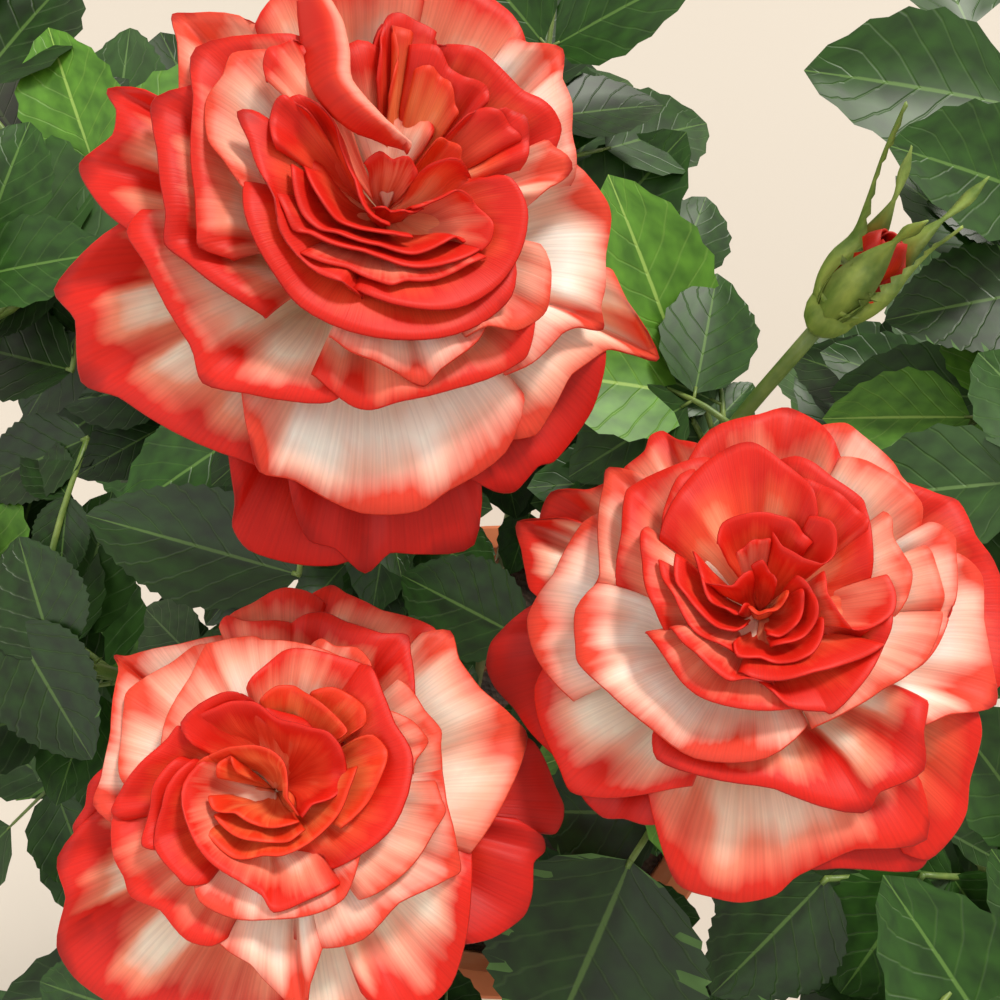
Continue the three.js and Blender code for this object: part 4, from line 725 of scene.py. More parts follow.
# A petal's mesh: its sheet thickened to a thin shell
def addPetal(sheet):
    bloom, order, look, reach = sheet["bloom"], sheet["order"], sheet["look"], sheet["reach"]
    frame = bloom["frame"]
    turn = sheet["turn"][..., None]
    points = (frame["centre"] + sheet["across"][..., None] * (np.cos(turn) * frame["u"] + np.sin(turn) * frame["v"])
              + sheet["rise"][..., None] * frame["n"])
    # How far each point is from the rim, measured up its own column
    steps = np.linalg.norm(np.diff(points[:petalRows + 1], axis=0), axis=2)
    toRim = np.zeros(points.shape[:2])
    toRim[:petalRows] = np.cumsum(steps[::-1], axis=0)[::-1]
    # The margin is wide at the rim's corners and narrow between them
    level = np.convolve(np.pad(reach, 6, mode="edge"), np.ones(13) / 13, mode="valid")
    corner = np.clip((reach - level) / 2.5, 0, 1)
    skin = petalLooks[look]
    width = skin["margin"] * (0.75 + skin["corners"] * corner) * (1 + 0.4 * smoothStep(sheet["side"], 0.75, 1))
    blush = np.clip(1 - toRim / width, 0, 1) * (skin["edge"] + (1 - skin["edge"]) * corner)
    # The turned rim itself is a thin dark line in the rim colour: painted shade of the curled edge
    blush[petalRows + 1:] = 1
    # Heart petals stay red down to their feet
    if sheet["inner"]:
        blush = np.maximum(blush, 0.45)
    faces = gridFaces(petalRows + 2, len(reach))
    sidewise = np.broadcast_to(np.radians(sheet["angle"]) * 32, toRim.shape) + 37 * order
    uv = np.stack([sidewise, toRim], axis=2).reshape(-1, 2)
    piece = addPiece(sheet["name"], points.reshape(-1, 3), faces, [skin["material"]], "petal", uv)
    attribute = piece.data.attributes.new("blush", "FLOAT", "POINT")
    attribute.data.foreach_set("value", blush.ravel().astype(np.float32))
    applyModifier(piece, "thin", "SOLIDIFY", thickness=petalThickness * mm, offset=0)
    settle(piece, "petals", bloom["name"])


for bloom in blooms:
    sheets = [petalSheet(bloom, "%s petal %d" % (bloom["name"], k + 1), k, *petal)
              for k, petal in enumerate(bloom["petals"])]
    sheets += [petalSheet(bloom, "%s heart petal %d" % (bloom["name"], k + 1), len(sheets) + k, *petal, inner=True)
               for k, petal in enumerate(bloom["heart"])]
    if "fold" in bloom:
        sheets.append(foldSheet(bloom, bloom["name"] + " fold petal", len(sheets)))
    pressSheets(sheets)
    for sheet in sheets:
        addPetal(sheet)
    print("petals of", bloom["name"])


# A round tapering tube along a path, closed at both ends. rings gives (share of length, radius) pairs.
def tubeArrays(path, rings, sides):
    vertices, normal = [], None
    for place, radius in rings:
        aim = path.aimAt(place)
        if normal is None:
            normal = unit(np.cross(aim, up if abs(aim[2]) < 0.9 else np.array([1.0, 0, 0])))
        normal = unit(normal - aim * np.dot(normal, aim))
        across = np.cross(aim, normal)
        centre = path.pointAt(place)
        for k in range(sides):
            turn = 2 * math.pi * k / sides
            vertices.append(centre + radius * (math.cos(turn) * normal + math.sin(turn) * across))
    return vertices, tubeFaces(len(rings), sides)


# Rings from a foot radius to a tip radius
def taper(count, foot, tip):
    return [(k / count, foot + (tip - foot) * k / count) for k in range(count + 1)]


# Collects many small shapes into the arrays of one mesh
class Gather:
    def __init__(self):
        self.vertices, self.faces, self.uv, self.slots = [], [], [], []

    def add(self, vertices, faces, slot=0, uv=None):
        start = len(self.vertices)
        self.vertices.extend(vertices)
        self.faces.extend([[start + v for v in face] for face in faces])
        self.slots.extend(slot if isinstance(slot, list) else [slot] * len(faces))
        self.uv.extend(uv if uv is not None else [(0.5, 0.5)] * len(vertices))


# A hooked prickle: a cone on an oval base, drawn down towards the stem's foot
def prickle(path, place, turn, size, radius):
    aim = path.aimAt(place)
    side = unit(np.cross(aim, np.array([math.cos(turn), math.sin(turn), 0.3])))
    root = path.pointAt(place) + side * (radius * 0.6)
    tip = root + side * size - aim * size * 0.45
    other = np.cross(aim, side)
    base = [root + aim * size * 0.55 * math.cos(a) + other * size * 0.22 * math.sin(a)
            for a in np.linspace(0, 2 * math.pi, 7)[:-1]]
    return base + [tip], [[k, (k + 1) % 6, 6] for k in range(6)] + [[5, 4, 3, 2, 1, 0]]


canes = [
    {"name": "cane_1", "turn": 120, "tip": [-44, 70, 408]},
    {"name": "cane_2", "turn": 8, "tip": [58, 12, 392]},
    {"name": "cane_3", "turn": 185, "tip": [-50, -20, 386]},
    {"name": "cane_4", "turn": 64, "tip": [66, 84, 400]},
    {"name": "cane_5", "turn": 245, "tip": [-48, -84, 380]},
    {"name": "cane_6", "turn": 312, "tip": [50, -78, 384]}]
sideBranches = [
    {"name": "side_branch_1", "cane": 0, "at": 0.5, "tip": [-104, 104, 416]},
    {"name": "side_branch_2", "cane": 2, "at": 0.45, "tip": [-112, 14, 396]},
    {"name": "side_branch_3", "cane": 3, "at": 0.5, "tip": [136, 66, 412]},
    {"name": "side_branch_4", "cane": 1, "at": 0.45, "tip": [114, -26, 394]},
    {"name": "side_branch_5", "cane": 0, "at": 0.4, "tip": [4, 128, 404]}]

caneBark = {"footRadius": 5.2, "tipRadius": 3.4, "branchFoot": 3.8, "branchTip": 2.9, "prickles": 9}

limbs = []
for cane in canes:
    out = flat(math.radians(cane["turn"]))
    tip = np.array(cane["tip"], float)
    foot = trunkTop + 12.5 * out - 9 * up
    rise = foot + np.array([0.3 * (tip[0] - foot[0]), 0.3 * (tip[1] - foot[1]), 46])
    bend = foot + 0.68 * (tip - foot) + 6 * out + 4 * up
    limbs.append({"name": cane["name"], "path": Path([foot, rise, bend, tip]), "foot": caneBark["footRadius"],
                  "tip": caneBark["tipRadius"]})
for branch in sideBranches:
    foot = limbs[branch["cane"]]["path"].pointAt(branch["at"])
    tip = np.array(branch["tip"], float)
    bend = foot + 0.5 * (tip - foot) - 8 * up
    limbs.append({"name": branch["name"], "path": Path([foot, bend, tip]), "foot": caneBark["branchFoot"],
                  "tip": caneBark["branchTip"]})

for index, limb in enumerate(limbs):
    next01 = numberStream(900 + index)
    gathered = Gather()
    rings = taper(28, limb["foot"], limb["tip"])
    rings = [(p, r * (1 + 0.05 * math.sin(7 * p + index))) for p, r in rings]
    gathered.add(*tubeArrays(limb["path"], rings, 16))
    piece = addPiece(limb["name"] + " bark", gathered.vertices, gathered.faces, [caneSkin])
    addRelief(piece, limb["name"] + " relief", size=0.006, depth=0.0008, middle=0.5)
    settle(piece, "green_bark", limb["name"])
    gathered = Gather()
    for k in range(caneBark["prickles"]):
        place = 0.15 + 0.8 * (k + 0.6 * next01()) / caneBark["prickles"]
        radius = limb["foot"] + (limb["tip"] - limb["foot"]) * place
        gathered.add(*prickle(limb["path"], place, 6.28 * next01(), 4.5 + 2 * next01(), radius))
    thorns = addPiece(limb["name"] + " prickles", gathered.vertices, gathered.faces, [thornSkin])
    settle(thorns, "green_bark", limb["name"])
print("canes")


bud = {"foot": [83, 107, 736], "axis": [0.345, 0.352, 0.871], "thickness": 0.5, "scrolls": 5, "height": 33}


# A place on the bud's stalk, this far under its foot
def underBud(distance):
    return np.array(bud["foot"]) - distance * unit(np.array(bud["axis"]))


# Foliage masses, by the rule of the solids
masses = [
    {"name": "foliage_1", "limb": 0, "end": bloomOne["foot"], "before": bloomOne["under"], "inner": True},
    {"name": "foliage_2", "limb": 1, "end": bloomTwo["foot"], "before": bloomTwo["under"], "inner": True},
    {"name": "foliage_3", "limb": 2, "end": bloomThree["foot"], "before": bloomThree["under"], "inner": True},
    {"name": "foliage_4", "limb": 3, "end": underBud(gap), "before": underBud(40), "inner": True},
    {"name": "foliage_5", "limb": 4, "end": [-78, -128, 650]},
    {"name": "foliage_6", "limb": 5, "end": [58, -118, 660]},
    {"name": "foliage_7", "limb": 6, "end": [-138, 168, 700]},
    {"name": "foliage_8", "limb": 7, "end": [-152, 32, 670]},
    {"name": "foliage_9", "limb": 8, "end": [178, 132, 690]},
    {"name": "foliage_10", "limb": 9, "end": [152, -38, 670]},
    {"name": "foliage_11", "limb": 10, "end": [12, 196, 680]}]

for mass in masses:
    limbPath = limbs[mass["limb"]]["path"]
    aim = limbPath.aimAt(1)
    foot = limbPath.pointAt(1) + gap * aim
    rise = foot + 24 * aim
    end = np.array(mass["end"], float)
    middle = mass["before"] if "before" in mass else rise + 0.55 * (end - rise) + 8 * up
    mass["path"] = Path([foot, rise, middle, end])
    mass["inner"] = mass.get("inner", False)

# Leaves that stand in plain view between the blooms: mass, share of its stem, blade's foot, tip, width and tone
shownLeaves = [
    (1, 0.76, [36, -30, 688], [12, -84, 674], 60, 0), (9, 0.9, [91, -35, 684], [60, -68, 671], 34, 0),
    (9, 0.95, [118, -34, 684], [97, -68, 670], 36, 1), (0, 0.76, [-57, 48, 700], [-124, 68, 690], 33, 0),
    (6, 0.96, [-126, 168, 690], [-132, 250, 676], 38, 2), (6, 0.93, [-140, 146, 690], [-190, 168, 672], 32, 0),
    (6, 0.88, [-135, 116, 684], [-186, 134, 666], 32, 0), (7, 0.95, [-134, 98, 670], [-176, 84, 658], 28, 0),
    (8, 0.97, [166, 136, 700], [119, 129, 694], 34, 0), (8, 0.93, [172, 160, 690], [138, 172, 690], 20, 0),
    (3, 0.78, [60, 98, 686], [44, 136, 692], 27, 2), (3, 0.74, [54, 96, 682], [25, 80, 676], 24, 0),
    (0, 0.66, [-82, 93, 684], [-118, 86, 670], 28, 1), (8, 0.86, [150, 68, 690], [118, 88, 680], 24, 0),
    (4, 0.95, [-101, -70, 680], [-131, -64, 672], 24, 1), (1, 0.7, [7, 31, 690], [-31, 53, 672], 30, 0),
    (2, 0.7, [-2, -42, 672], [34, -58, 650], 30, 0)]

# Leaves of the finer growth that hide a bare stem end
coverLeaves = [(7, 0.9, [-146, 36, 680], [-120, -3, 677], 30, 0), (7, 0.8, [-133, 26, 678], [-147, 63, 682], 30, 0)]

# What each mass keeps to: the lines of its stem and of its shown leaves, with half a blade's width about those
lineStart, lineSpan, lineHalf, lineMass = [], [], [], []


def keepLine(points, half, index):
    for a, b in zip(points[:-1], points[1:]):
        lineStart.append(a)
        lineSpan.append(b - a)
        lineHalf.append(half)
        lineMass.append(index)


for index, mass in enumerate(masses):
    keepLine(mass["path"].spaced(12), 0, index)
for index, at, joint, tip, width, tone in shownLeaves:
    joint, tip = np.array(joint, float), np.array(tip, float)
    keepLine([masses[index]["path"].pointAt(at), joint], 0, index)
    keepLine([joint, tip], width / 2, index)
lineStart, lineSpan, lineHalf = np.array(lineStart), np.array(lineSpan), np.array(lineHalf)
lineMass = np.array(lineMass)
lineOf = [lineMass == k for k in range(len(masses))]
limbLines = np.array([limb["path"].spaced(12) for limb in limbs])
limbStart, limbSpan = limbLines[:, :-1], np.diff(limbLines, axis=1)
limbRadii = np.array([limb["foot"] for limb in limbs])


def lineDistances(point, start, span):
    part = np.clip(np.sum((point - start) * span, axis=-1) / np.sum(span * span, axis=-1), 0, 1)
    return np.linalg.norm(start + part[..., None] * span - point, axis=-1)


boxLow = np.array(frameBox[0]) / mm + 1
boxHigh = np.array(frameBox[1]) / mm - 1
leavesFrom, leavesTo = 310, 760


# Whether a leaf may reach this point: inside the crown, clear of blooms, bud and limbs, and in its mass's own space
def isFree(point, index):
    if not leavesFrom <= point[2] <= leavesTo or np.any(point < boxLow) or np.any(point > boxHigh):
        return False
    for bloom in blooms:
        offset = point - bloom["frame"]["centre"]
        height = float(np.dot(offset, bloom["frame"]["n"]))
        reach = float(np.linalg.norm(offset - height * bloom["frame"]["n"]))
        if height > -19 and reach < bloom["radius"] + 20:
            return False
        if height > -hipDepth - 14 and reach < 36:
            return False
    toBud = point - np.array(bud["foot"], float)
    if toBud[2] > -12 and math.hypot(toBud[0], toBud[1]) < 52:
        return False
    away = lineDistances(point, lineStart, lineSpan) - lineHalf
    own = max(0, away[lineOf[index]].min())
    if away[~lineOf[index]].min() < own + 5:
        return False
    return bool(np.all(lineDistances(point, limbStart, limbSpan).min(axis=1) >= limbRadii + 2))


# A leaf blade: an oval with a saw edge, folded a little along the midrib, quilted between its veins
def bladeTemplate(rows, columns, teeth):
    y = np.linspace(0, 1, rows + 1)[1:-1, None]
    spread = np.abs(columns)[None, :]
    outline = np.sin(math.pi * y ** 0.78) ** 0.72
    saw = np.where(np.arange(1, rows) % 2 == 1, 0.0, teeth)[:, None] * np.sin(math.pi * y) ** 0.3
    x = columns[None, :] * (outline - saw)
    quilt = np.sin(2 * math.pi * 6.5 * (y - 0.31 * spread)) * spread * (1.05 - spread)
    lift = 0.2 * np.abs(x) + 0.022 * quilt * np.minimum(1, outline / 0.3) - 0.16 * (y - 0.35) ** 2
    count = len(columns)
    foot = (rows - 1) * count
    tip, under = foot + 1, foot + 2
    last = foot - count
    faces, slots = [], []
    for i in range(rows - 2):
        for j in range(count - 1):
            faces.append([i * count + j, i * count + j + 1, (i + 1) * count + j + 1, (i + 1) * count + j])
        # The underside runs straight from each edge to its own midrib
        a, b = under + i, under + i + 1
        left, right = i * count, i * count + count - 1
        faces.append([a, left, left + count, b])
        faces.append([right, a, b, right + count])
        slots += [0] * (count - 1) + [1, 1]
    # Both sides meet in one point at the foot and one at the tip
    for j in range(count - 1):
        faces += [[foot, j + 1, j], [last + j, last + j + 1, tip]]
    faces += [[foot, 0, under], [foot, under, count - 1]]
    faces += [[under + rows - 2, last, tip], [foot - 1, under + rows - 2, tip]]
    slots += [0] * (2 * count - 2) + [1] * 4
    shape = np.stack([x, y + 0 * x, lift], axis=2).reshape(-1, 3)
    uv = np.stack([0.5 + 0.5 * np.broadcast_to(columns, x.shape), y + 0 * x], axis=2).reshape(-1, 2)
    middle = [i * count + count // 2 for i in range(rows - 1)]
    shape = np.vstack([shape, [[0, 0, -0.02], [0, 1, -0.068]], shape[middle]])
    uv = np.vstack([uv, [[0.5, 0], [0.5, 1]], uv[middle]])
    thin = np.concatenate([np.zeros(under), np.full(rows - 1, -0.45)])
    return {"shape": shape, "thin": thin, "faces": faces, "slots": slots, "uv": uv}


# One for the leaves of the rule, one with finer teeth for the leaves in plain view
plainBlade = bladeTemplate(12, np.array([-1, -0.5, 0, 0.5, 1]), 0.075)
shownBlade = bladeTemplate(30, np.array([-1, -0.75, -0.5, -0.25, 0, 0.25, 0.5, 0.75, 1]), 0.055)


underSlot = len(leafMaterials)


def addBlade(gathered, root, tip, side, width, twist, tone, blade=plainBlade):
    along = tip - root
    length = np.linalg.norm(along)
    aim = along / length
    over = np.cross(side, aim)
    over = over if over[2] > 0 else -over
    side = np.cross(aim, over)
    shape = blade["shape"]
    points = (root + np.outer(shape[:, 0] * width / 2, side) + np.outer(shape[:, 1] * length, aim)
              + np.outer(shape[:, 2] * width / 2 + blade["thin"], over)
              + np.outer(shape[:, 0] * width / 2 * twist * shape[:, 1], over))
    slots = [tone if s == 0 else underSlot for s in blade["slots"]]
    gathered.add(list(points), blade["faces"], slots, list(blade["uv"]))


foliage = {"leafletLength": 66, "leafletShare": 0.66, "stalkFoot": 38, "stalkStep": 30, "leafSpacing": 51,
           "leafTurn": 144, "stemFoot": 2.7, "stemTip": 2.1, "finerLeaves": 4, "prickles": 10, "innerShare": 0.78}


# A leaf with one leaflet at its end and pairs along its stalk, each left out where it has no room
def compoundLeaf(root, heading, rise, scale, pairs, index, seed):
    next01 = numberStream(seed)
    stalkLength = foliage["stalkFoot"] + foliage["stalkStep"] * pairs
    out = flat(heading)
    across = np.array([-out[1], out[0], 0])
    length = (stalkLength if pairs > 1 else 34) * scale
    droop = 0.35 + 0.3 * next01()

    def stalkAt(t):
        return (root + length * t * math.cos(rise - droop * t * 0.5) * out
                + length * t * math.sin(rise - droop * t) * up)

    if not all(isFree(stalkAt(t), index) for t in (0.3, 0.65, 1)):
        return None
    leaflets = [(1, 0, 1)]
    for p in range(pairs):
        t = (foliage["stalkFoot"] + foliage["stalkStep"] * p) / stalkLength if pairs > 1 else 0.6
        size = 0.92 - 0.14 * (pairs - 1 - p)
        leaflets += [(t, 1, size), (t, -1, size)]
    blades, far = [], 0.4
    for t, hand, size in leaflets:
        bladeLength = foliage["leafletLength"] * scale * size * (0.9 + 0.2 * next01())
        spread = hand * (1.05 + 0.2 * next01())
        pitch = rise - droop - 0.25 + 0.5 * next01()
        aim = (math.cos(spread) * out + math.sin(spread) * across) * math.cos(pitch) + math.sin(pitch) * up
        joint = stalkAt(t)
        tip = joint + bladeLength * aim
        bladeRoot = joint - 3.5 * aim
        side = unit(np.cross(up, aim))
        width = bladeLength * foliage["leafletShare"]
        middle = bladeRoot + 0.42 * (tip - bladeRoot)
        edges = [tip, middle, joint + 0.7 * (tip - joint), middle + side * width / 2, middle - side * width / 2]
        if all(isFree(point, index) for point in edges):
            blades.append((joint, aim, tip, side, width))
            far = max(far, t)
    return {"stalk": [stalkAt(0), stalkAt(0.5 * far), stalkAt(far)], "blades": blades}


headingTries = [0, 0.6, -0.6, 1.2, -1.2]


# The fullest leaf of several headings, or none
def fittedLeaf(root, heading, rise, scale, pairs, index, seed, fewest=2):
    best = None
    for shift in headingTries:
        leaf = compoundLeaf(root, heading + shift, rise, scale, pairs, index, seed)
        if leaf and len(leaf["blades"]) >= max(fewest, len(best["blades"]) + 1 if best else 0):
            best = leaf
    return best


# A leaf's stalk and blades, all of one tone
def drawLeaf(leaf, leaves, twigs, next01, young):
    if leaf is None:
        return
    twigs.add(*tubeArrays(Path(leaf["stalk"]), taper(5, 1.1, 0.7), 6))
    spray = next01()
    tone = 3 if spray < young else (2 if spray < young + 0.2 else (1 if spray < young + 0.55 else 0))
    for joint, aim, tip, side, width in leaf["blades"]:
        foot = joint + 2.2 * aim
        twigs.add(*tubeArrays(Path([joint - 0.5 * aim, foot + 2 * aim]), taper(2, 0.6, 0.5), 5))
        tilt = unit(side + 0.3 * (next01() - 0.5) * np.cross(side, aim))
        addBlade(leaves, foot, tip, tilt, width * 1.06, 0.5 * (next01() - 0.5), tone)


# A twig off the stem with small leaves of its own
def sideTwig(root, heading, index, seed, leaves, twigs, next01, young):
    own = numberStream(seed)
    length = 50 + 30 * own()
    out = flat(heading)
    bend = root + 0.5 * length * out + 0.3 * length * up
    tip = root + 0.8 * length * out + 0.75 * length * up
    if not (isFree(bend, index) and isFree(tip, index)):
        return
    path = Path([root, bend, tip])
    grown = []
    for k, (at, turn) in enumerate(((0.6, 1.3), (0.97, -0.9))):
        scale = 0.8 + 0.2 * own()
        grown.append(fittedLeaf(path.pointAt(at), heading + turn, 0.4, scale, 1, index, seed + 200 + k))
    # Finer growth on the same twig
    for k, (at, turn) in enumerate(((0.4, -1.6), (0.8, 2.6), (1, 0.2))):
        grown.append(fittedLeaf(path.pointAt(at), heading + turn, 0.35, 0.72, 1, index, seed + 400 + k, 1))
    # A twig that has no room for leaves is bare, so it isn't drawn
    if any(grown):
        twigs.add(*tubeArrays(path, taper(8, 1.9, 1.2), 7))
    for leaf in grown:
        drawLeaf(leaf, leaves, twigs, next01, young)


leafletCount = 0
for index, mass in enumerate(masses):
    next01 = numberStream(101 + 37 * index)
    tones = numberStream(77 + index)
    path = mass["path"]
    leaves, twigs = Gather(), Gather()
    twigs.add(*tubeArrays(path, taper(30, foliage["stemFoot"], foliage["stemTip"]), 12))
    count = round(path.lengths[-1] / foliage["leafSpacing"])
    start = next01() * 360
    share = foliage["innerShare"] if mass["inner"] else 1
    young = 0.45 if mass["name"] == "foliage_4" else (0.15 if mass["inner"] else 0.08)
    for k in range(count):
        t = 0.08 + 0.9 * k / (count - 1)
        heading = math.radians(start + foliage["leafTurn"] * k)
        scale = share * (0.95 + 0.25 * next01())
        rise = 0.25 + 0.4 * t + 0.3 * next01()
        seed = 1000 * (index + 1) + k
        pairs = 1 if mass["inner"] else 2
        drawLeaf(fittedLeaf(path.pointAt(t), heading, rise, scale, pairs, index, seed), leaves, twigs, tones, young)
        if k % 2 == 1 and not mass["inner"]:
            sideTwig(path.pointAt(t - 0.04), heading + 2.2, index, seed + 100, leaves, twigs, tones, young)
        # Finer growth between the solids' leaves, inside the same reach
        for extra in range(foliage["finerLeaves"]):
            place = min(0.99, max(0.04, t + (extra - 1.5) * 0.22 / count))
            own = numberStream(seed + 5000 * (extra + 1))
            turn = heading + 1.3 + 1.55 * extra + 0.4 * own()
            size = share * (0.7 + 0.3 * own())
            leaf = fittedLeaf(path.pointAt(place), turn, 0.1 + 0.6 * own(), size, 1 if own() < 0.6 else pairs, index,
                              seed + 7000 + extra, 1)
            drawLeaf(leaf, leaves, twigs, tones, young)
    for _, at, joint, tip, width, tone in [leaf for leaf in shownLeaves + coverLeaves if leaf[0] == index]:
        root, joint, tip = path.pointAt(at), np.array(joint, float), np.array(tip, float)
        stalk = Path([root, root + 0.55 * (joint - root) + 4 * up, joint])
        twigs.add(*tubeArrays(stalk, taper(8, 1.3, 0.9), 6))
        aim = unit(tip - joint)
        addBlade(leaves, joint, tip, unit(np.cross(up, aim)), width * 1.08, 0.25 * (tones() - 0.5), tone,
                 shownBlade)
        twigs.add(*tubeArrays(Path([joint - 0.5 * aim, joint + 2 * aim]), taper(2, 0.9, 0.8), 5))
        # Finer growth: a pair of smaller leaflets behind the blade, where there is room
        back = stalk.pointAt(0.72)
        for hand in (-1, 1):
            spread = math.cos(1.15) * aim + math.sin(1.15) * hand * unit(np.cross(up, aim))
            end = back + 0.62 * np.linalg.norm(tip - joint) * spread - 3 * up
            if isFree(end, index) and isFree(0.5 * (back + end), index):
                addBlade(leaves, back, end, unit(np.cross(up, spread)), width * 0.66, 0.2, tone, shownBlade)
    for k in range(foliage["prickles"]):
        twigs.add(*prickle(path, 0.05 + 0.085 * k, 6.28 * next01(), 3.5 + 1.5 * next01(), 2.5))
    leafletCount += len(leaves.vertices) // len(plainBlade["shape"])
    leafPiece = addPiece(mass["name"] + " leaves", leaves.vertices, leaves.faces, leafMaterials + [leafUnder],
                         "leaf", leaves.uv, leaves.slots)
    choose(leafPiece)
    bpy.ops.object.shade_smooth_by_angle(angle=math.radians(50))
    settle(leafPiece, "foliage", mass["name"])
    twigPiece = addPiece(mass["name"] + " twigs", twigs.vertices, twigs.faces, [shootSkin])
    settle(twigPiece, "foliage", mass["name"])
print("foliage", leafletCount, "leaflets")


# A turned shape: the profile is spun about Z
def turned(title, profile, steps, material):
    name = title.replace(" ", "_")
    mesh = bpy.data.meshes.new(name)
    mesh.from_pydata([(x * mm, 0, z * mm) for x, z in profile], [(k, k + 1) for k in range(len(profile) - 1)], [])
    piece = bpy.data.objects.new(name, mesh)
    bpy.context.scene.collection.objects.link(piece)
    choose(piece)
    bpy.ops.object.mode_set(mode="EDIT")
    bpy.ops.mesh.select_all(action="SELECT")
    bpy.ops.mesh.spin(steps=steps, angle=2 * math.pi, center=(0, 0, 0), axis=(0, 0, 1))
    bpy.ops.mesh.select_all(action="SELECT")
    bpy.ops.mesh.remove_doubles(threshold=0.00002)
    bpy.ops.mesh.normals_make_consistent(inside=False)
    bpy.ops.object.mode_set(mode="OBJECT")
    mesh.materials.append(material)
    bpy.ops.object.shade_smooth_by_angle(angle=math.radians(35))
    return piece


pot = {"height": 270, "topRadius": 150, "footRadius": 108, "wall": 9, "floor": 12, "lipHeight": 38, "lipOut": 9}
wallRings = (60, 130)


# The pot's outer radius at a height
def outer(z):
    return pot["footRadius"] + (pot["topRadius"] - pot["footRadius"]) * z / pot["height"]


lipFoot = pot["height"] - pot["lipHeight"]
lipEdge = pot["topRadius"] + pot["lipOut"]
inside = pot["topRadius"] - pot["wall"]
potProfile = [(0, 0), (pot["footRadius"] - 6, 0), (pot["footRadius"] - 2, 0.8), (pot["footRadius"], 3)]
potProfile += [(outer(z), z) for z in wallRings]
potProfile += [(outer(lipFoot) + out, lipFoot + z) for out, z in ((-0.5, -1), (1.5, 0.4), (7.5, 3), (9, 6))]
potProfile += [(lipEdge - cut, pot["height"] - z) for cut, z in ((0, 5), (0.8, 2), (3, 0))]
potProfile += [(inside + cut, pot["height"] - z) for cut, z in ((3, 0), (0.8, 1), (0, 4))]
potProfile += [(outer(z) - pot["wall"], z) for z in (wallRings[1], pot["floor"])] + [(0, pot["floor"])]
potPiece = turned("clay pot", potProfile, 96, claySkin)
settle(potPiece, "clay", "pot")

# The soil fills the pot to just under its lip, and its top has rings enough to be crumbled
soilEdge = outer(soilTop) - pot["wall"] - 2 * gap
soilFoot = pot["floor"] + gap
soilProfile = [(0, soilFoot), (outer(pot["floor"]) - pot["wall"] - 1.6, soilFoot), (soilEdge - 1, soilTop - 4),
               (soilEdge - 5, soilTop - 0.6)]
soilProfile += [(soilEdge - 9 - 6 * k, soilTop) for k in range(18)] + [(0, soilTop)]
soilPiece = turned("potting soil", soilProfile, 120, soilSkin)
group = soilPiece.vertex_groups.new(name="surface")
group.add([v.index for v in soilPiece.data.vertices if v.co.z > (soilTop - 0.1) * mm
           and math.hypot(v.co.x, v.co.y) < (soilEdge - 10) * mm], 1, "REPLACE")
addRelief(soilPiece, "crumbs", size=0.009, depth=0.004, middle=0.75, vertex_group="surface")
settle(soilPiece, "soil", "soil")

# The trunk: a knuckled stump with a root flare, leaning a little
trunkProfile = [(0, 0), (22, 0), (21.4, 1.5), (17, 10), (15, 17), (14, 24), (15.2, 32), (17.5, 40), (18, 42),
                (17.2, 47), (16, 50), (12, 51.4), (7.5, 52), (0, 52)]
trunkPiece = turned("trunk bark", trunkProfile, 40, oldSkin)
for vertex in trunkPiece.data.vertices:
    part = vertex.co.z / (trunkProfile[-1][1] * mm)
    vertex.co.x += trunkTop[0] * mm * part
    vertex.co.y += trunkTop[1] * mm * part
    vertex.co.z += (soilTop + gap) * mm
applyModifier(trunkPiece, "finer", "SUBSURF", levels=1)
addRelief(trunkPiece, "ridges", size=0.009, depth=0.0025, middle=0.6)
settle(trunkPiece, "old_bark", "trunk")
print("pot, soil and trunk")


# A green sepal under a bloom
def sepalArrays(frame, height, length, width, rise, turn, curl):
    out = math.cos(turn) * frame["u"] + math.sin(turn) * frame["v"]
    aim = math.cos(rise) * out + math.sin(rise) * frame["n"]
    across = np.cross(out, frame["n"])
    over = np.cross(across, aim)
    root = frame["centre"] + height * frame["n"] + 1.5 * out
    vertices, rows = [], 12
    for i in range(rows + 1):
        t = i / rows
        half = 0.5 * width * (math.sin(math.pi * min(1, 0.18 + 0.82 * t)) ** 0.9 * (1 - 0.55 * t) + 0.03)
        middle = root + aim * length * t + over * curl * length * t * t
        for side, drop in ((-1, 0), (0, 0.5), (1, 0), (0, -0.5)):
            vertices.append(middle + across * half * side + over * drop)
    return vertices, tubeFaces(rows + 1, 4)


# A turned shape about a bloom's axis, from (radius, height) pairs
def lathed(frame, profile, sides):
    vertices = []
    for radius, height in profile:
        for k in range(sides):
            turn = 2 * math.pi * k / sides
            vertices.append(frame["centre"] + height * frame["n"]
                            + radius * (math.cos(turn) * frame["u"] + math.sin(turn) * frame["v"]))
    return vertices, tubeFaces(len(profile), sides)


for bloom in blooms:
    gathered = Gather()
    gathered.add(*lathed(bloom["frame"], [(2.4, -26), (3.4, -26), (4.6, -24), (5.5, -21), (5.2, -18), (4.4, -15.5),
                                          (6.5, -13), (9.5, -11), (8, -9.6), (3, -9)], 20))
    for k in range(5):
        gathered.add(*sepalArrays(bloom["frame"], petalFootDepth - 3, 29, 9, -0.42, math.radians(72 * k + 12), -0.1))
    calyx = addPiece(bloom["name"] + " calyx", gathered.vertices, gathered.faces, [sepalSkin])
    settle(calyx, "petals", bloom["name"])

budFrame = bloomFrame({"axis": bud["axis"], "centre": bud["foot"]})
gathered = Gather()
gathered.add(*lathed(budFrame, [(2.2, 0), (3.4, 0.4), (5.4, 2.5), (6.6, 5.5), (6.8, 8), (6.3, 10), (7.4, 11.5),
                                (8, 13), (5, 14), (2, 14)], 24))


